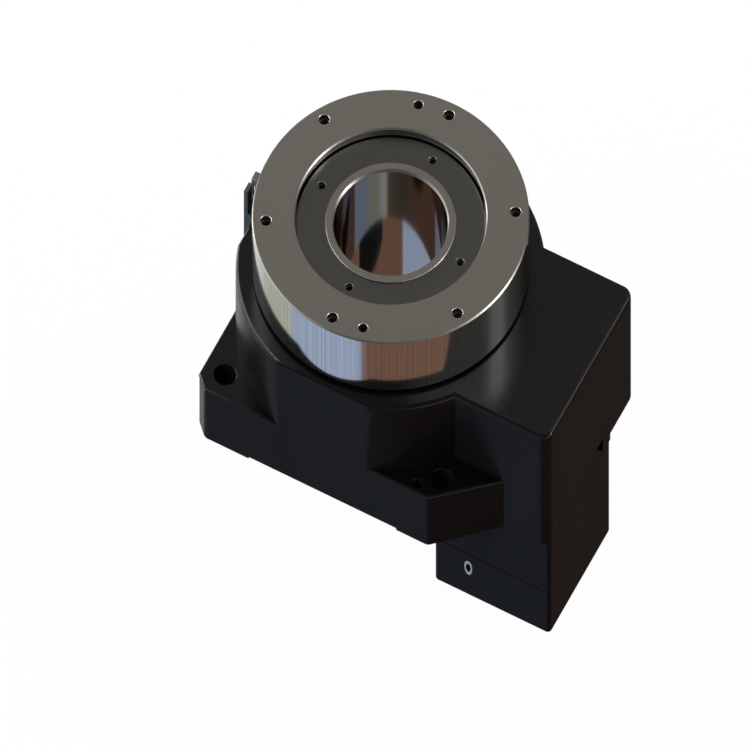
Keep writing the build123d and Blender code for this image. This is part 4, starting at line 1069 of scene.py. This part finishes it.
class PLATFORM_OT_stage(PlatformOperator, bpy.types.Operator):
    """Pale floor, soft lights, a world with tinted reflections and the camera"""

    bl_idname = "platform.stage"
    bl_label = "Stage"

    # The picture: a level camera turned and raised, whose picture is drawn taller than it is wide
    TURN = math.radians(27.8)
    RISE = math.radians(31.0)
    TALLNESS = 16 / 9
    PIXELS_PER_MM = 3.2659
    TABLE_PIXEL = (390.7, 216.1)
    CAMERA_DISTANCE = 0.8
    CAMERA_REACH = 10.0

    FLOOR_SIDE = 6.0
    FLOOR_WHITE = 0.97
    FLOOR_PAINT = (0.92, 0.92, 0.92, 1.0)
    # Colours that reflections see below the sky's foot, by direction in degrees from the X axis
    BANDS = (
        (-180, (0.60, 0.62, 0.52)),
        (-158, (0.61, 0.63, 0.51)),
        (-149, (0.48, 0.58, 0.80)),
        (-89, (0.48, 0.58, 0.80)),
        (-84, (0.24, 0.13, 0.09)),
        (20, (0.24, 0.14, 0.10)),
        (62, (0.16, 0.115, 0.09)),
        (100, (0.18, 0.14, 0.115)),
        (124, (0.24, 0.18, 0.14)),
        (140, (0.92, 0.95, 0.92)),
        (180, (0.60, 0.62, 0.52)),
    )
    # Brightness that reflections see above the sky's foot, by direction, as shares of the brightest
    SKY = ((-180, 0.38), (-140, 0.19), (-60, 0.125), (-25, 0.625), (60, 0.625), (85, 0.125), (127, 0.125))
    SKY += ((141, 1.0), (168, 1.0), (180, 0.38))
    SKY_BRIGHTEST = 4.0
    # Heights between which the bands give way to the sky, as sines of the angle
    SKY_FOOT = (0.30, 0.42)
    # Bright strip along the horizon at the left, which only edges reflect
    HORIZON = ((-180, 1.0), (-150, 0.3), (-130, 0.0), (118, 0.0), (140, 1.0), (180, 1.0))
    HORIZON_BRIGHTEST = 12.0
    HORIZON_HEIGHT = 0.06
    # Share of the white that lights the object
    SKY_LIGHT = 0.3
    CEILING_RADIUS = 0.50
    CEILING_PLACE = (0.12, -0.12, 0.5)
    CEILING_GREY = (0.20, 0.20, 0.19, 1.0)
    CEILING_SIDES = 64
    # Name, place, side, watts, colour, and whether reflections see the lamp
    LAMPS = (
        ("cool_front", (-0.45, -0.64, 0.22), 0.40, 4.6, (0.90, 0.95, 1.0), False),
        ("warm_right", (0.62, 0.33, 0.14), 0.50, 2.2, (1.0, 0.80, 0.64), False),
        ("soft_top", (-0.30, 0.40, 0.60), 0.60, 1.8, (1.0, 0.97, 0.90), False),
        ("cool_back", (-0.30, 0.72, 0.16), 0.50, 3.4, (0.92, 0.96, 1.0), False),
        ("cool_left", (-0.85, 0.15, 0.12), 0.50, 3.0, (0.94, 0.97, 1.0), False),
        ("window", (0.52, 0.38, 0.40), 0.22, 1.2, (1.0, 1.0, 0.97), True),
    )

    def execute(self, context):
        scene = context.scene
        scene.view_settings.view_transform = "Standard"
        self.add_floor()
        self.add_ceiling()
        self.add_world(scene)
        self.add_lamps()
        self.add_camera(scene)
        return {"FINISHED"}

    def background_rays(self, tree):
        """1 for rays that show the background: camera, glossy and transmission rays."""
        path = tree.add("ShaderNodeLightPath")
        camera_or_glossy = tree.math("MAXIMUM", path.outputs["Is Camera Ray"], path.outputs["Is Glossy Ray"])
        return tree.math("MAXIMUM", camera_or_glossy, path.outputs["Is Transmission Ray"])

    def bare_material(self, name, data):
        """A material without its usual shader on a mesh, as (its tree, its output node)."""
        made, tree, principled = shader(name)
        data.materials.append(made)
        tree.tree.nodes.remove(principled)
        return tree, tree.tree.nodes["Material Output"]

    def add_floor(self):
        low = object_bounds()[0].z
        half = self.FLOOR_SIDE / 2
        corners = [(-half, -half, low), (half, -half, low), (half, half, low), (-half, half, low)]
        data = bpy.data.meshes.new("floor")
        data.from_pydata(corners, [], [(0, 1, 2, 3)])
        tree, output = self.bare_material("floor_white", data)
        coat = tree.add("ShaderNodeBsdfDiffuse", {"Color": self.FLOOR_PAINT})
        glow = tree.add("ShaderNodeEmission", {"Color": (1.0, 1.0, 1.0, 1.0), "Strength": 1.0})
        share = tree.times(self.background_rays(tree), self.FLOOR_WHITE)
        mixed = tree.add("ShaderNodeMixShader", {0: share, 1: coat.outputs[0], 2: glow.outputs[0]})
        tree.put(output, {"Surface": mixed.outputs[0]})
        floor = link("floor", data)
        floor.visible_glossy = False
        floor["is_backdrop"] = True

    def add_ceiling(self):
        """Dark card overhead that only reflections see, so that edges shine from the left alone."""
        data = bpy.data.meshes.new("ceiling_card")
        with edited(data) as built:
            bmesh.ops.create_circle(
                built, cap_ends=True, segments=self.CEILING_SIDES, radius=self.CEILING_RADIUS
            )
        data.transform(Matrix.Translation(self.CEILING_PLACE))
        tree, output = self.bare_material("ceiling_grey", data)
        glow = tree.add("ShaderNodeEmission", {"Color": self.CEILING_GREY, "Strength": 1.0})
        tree.put(output, {"Surface": glow.outputs[0]})
        card = link("ceiling_card", data)
        for ray in ("camera", "diffuse", "shadow", "transmission"):
            setattr(card, "visible_" + ray, False)
        card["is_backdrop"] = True

    def band_ramp(self, tree, share, stops):
        """A colour by direction: share runs once round the horizon, and stops are in degrees."""
        bands = tree.add("ShaderNodeValToRGB", {"Fac": share})
        bands.color_ramp.interpolation = "EASE"
        while len(bands.color_ramp.elements) < len(stops):
            bands.color_ramp.elements.new(0.5)
        for element, (degrees, shade) in zip(bands.color_ramp.elements, stops):
            element.position = (degrees + 180) / 360
            element.color = (*shade, 1.0)
        return bands.outputs["Color"]

    def grey_ramp(self, tree, share, levels):
        """A brightness by direction."""
        return self.band_ramp(tree, share, [(degrees, (level,) * 3) for degrees, level in levels])

    def add_world(self, scene):
        """White world; reflections see tinted bands, soft cards above and a strip along the horizon."""
        world = bpy.data.worlds.new("studio")
        scene.world = world
        world.use_nodes = True
        tree = Tree(world.node_tree)
        glossy = tree.add("ShaderNodeLightPath").outputs["Is Glossy Ray"]
        way = tree.parts(tree.add("ShaderNodeTexCoord").outputs["Generated"])
        share = tree.ramp(tree.math("ARCTAN2", way["Y"], way["X"]), -math.pi, math.pi)
        below = tree.ramp(way["Z"], *self.SKY_FOOT, 1.0, 0.0)
        cards = tree.scale(self.grey_ramp(tree, share, self.SKY), self.SKY_BRIGHTEST)
        mirrored = blend_colours(tree, below, cards, self.band_ramp(tree, share, self.BANDS))
        off_strip = tree.math("ABSOLUTE", tree.minus(way["Z"], self.HORIZON_HEIGHT))
        level = tree.ramp(off_strip, 0.0, self.HORIZON_HEIGHT, self.HORIZON_BRIGHTEST, 0.0)
        strip = tree.scale(self.grey_ramp(tree, share, self.HORIZON), level)
        lit = tree.add("ShaderNodeVectorMath", {0: mirrored, 1: strip}, operation="ADD").outputs[0]
        shade = blend_colours(tree, glossy, (1.0, 1.0, 1.0), lit)
        strength = tree.times(self.background_rays(tree), 1.0 - self.SKY_LIGHT, self.SKY_LIGHT)
        tree.put(world.node_tree.nodes["Background"], {"Color": shade, "Strength": strength})

    def add_lamps(self):
        for name, place, side, watts, shade, mirrored in self.LAMPS:
            data = bpy.data.lights.new(name, "AREA")
            data.shape = "SQUARE"
            data.size = side
            data.energy = watts
            data.color = shade
            lamp = link(name, data)
            lamp.location = place
            lamp.rotation_euler = (-Vector(place)).to_track_quat("-Z", "Y").to_euler()
            lamp.visible_camera = False
            lamp.visible_glossy = mirrored

    def add_camera(self, scene):
        level = math.cos(self.RISE)
        right = Vector((math.cos(self.TURN), math.sin(self.TURN), 0.0))
        back = Vector((level * math.sin(self.TURN), -level * math.cos(self.TURN), math.sin(self.RISE)))
        up = back.cross(right)
        lean = math.acos(1 / self.TALLNESS)
        picture_up = up * math.cos(lean) + back * math.sin(lean)
        table_top = Vector((0.0, 0.0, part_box("rotary_table")[1].z))
        across = (self.TABLE_PIXEL[0] - IMAGE_SIDE / 2) / self.PIXELS_PER_MM * MM
        above = (IMAGE_SIDE / 2 - self.TABLE_PIXEL[1]) / self.PIXELS_PER_MM * MM
        place = table_top - right * across - picture_up * above + back * self.CAMERA_DISTANCE
        stand = Matrix((right, picture_up, back)).transposed().to_4x4()
        stand.translation = place
        data = bpy.data.cameras.new("photo_camera")
        data.type = "ORTHO"
        data.ortho_scale = IMAGE_SIDE / self.PIXELS_PER_MM * MM
        data.clip_end = self.CAMERA_REACH
        camera = link("photo_camera", data)
        camera.parent = link("tripod", None)
        camera.matrix_parent_inverse = stand
        scene.camera = camera


class PLATFORM_PT_panel(bpy.types.Panel):
    """Sidebar panel that lists the platform's steps"""

    bl_label = "Rotary platform"
    bl_idname = "PLATFORM_PT_panel"
    bl_space_type = "VIEW_3D"
    bl_region_type = "UI"
    bl_category = "Platform"

    def draw(self, context):
        for step in STEPS:
            self.layout.operator(step.bl_idname)
        for group in (context.scene.platform_sizes, context.scene.platform_colours):
            for name in group.bl_rna.properties.keys():
                if name not in ("rna_type", "name"):
                    self.layout.prop(group, name)


STEPS = (
    PLATFORM_OT_finishes,
    PLATFORM_OT_housing,
    PLATFORM_OT_table,
    PLATFORM_OT_centre,
    PLATFORM_OT_motor_mount,
    PLATFORM_OT_home_sensor,
    PLATFORM_OT_screws,
    PLATFORM_OT_threads,
    PLATFORM_OT_stage,
)
CLASSES = (PlatformSizes, PlatformColours, *STEPS, PLATFORM_PT_panel)


def register():
    for item in CLASSES:
        bpy.utils.register_class(item)
    bpy.types.Scene.platform_sizes = PointerProperty(type=PlatformSizes)
    bpy.types.Scene.platform_colours = PointerProperty(type=PlatformColours)


def unregister():
    del bpy.types.Scene.platform_colours
    del bpy.types.Scene.platform_sizes
    for item in reversed(CLASSES):
        bpy.utils.unregister_class(item)


def main():
    register()
    for step in STEPS:
        family, name = step.bl_idname.split(".")
        getattr(getattr(bpy.ops, family), name)()


if __name__ == "__main__":
    main()
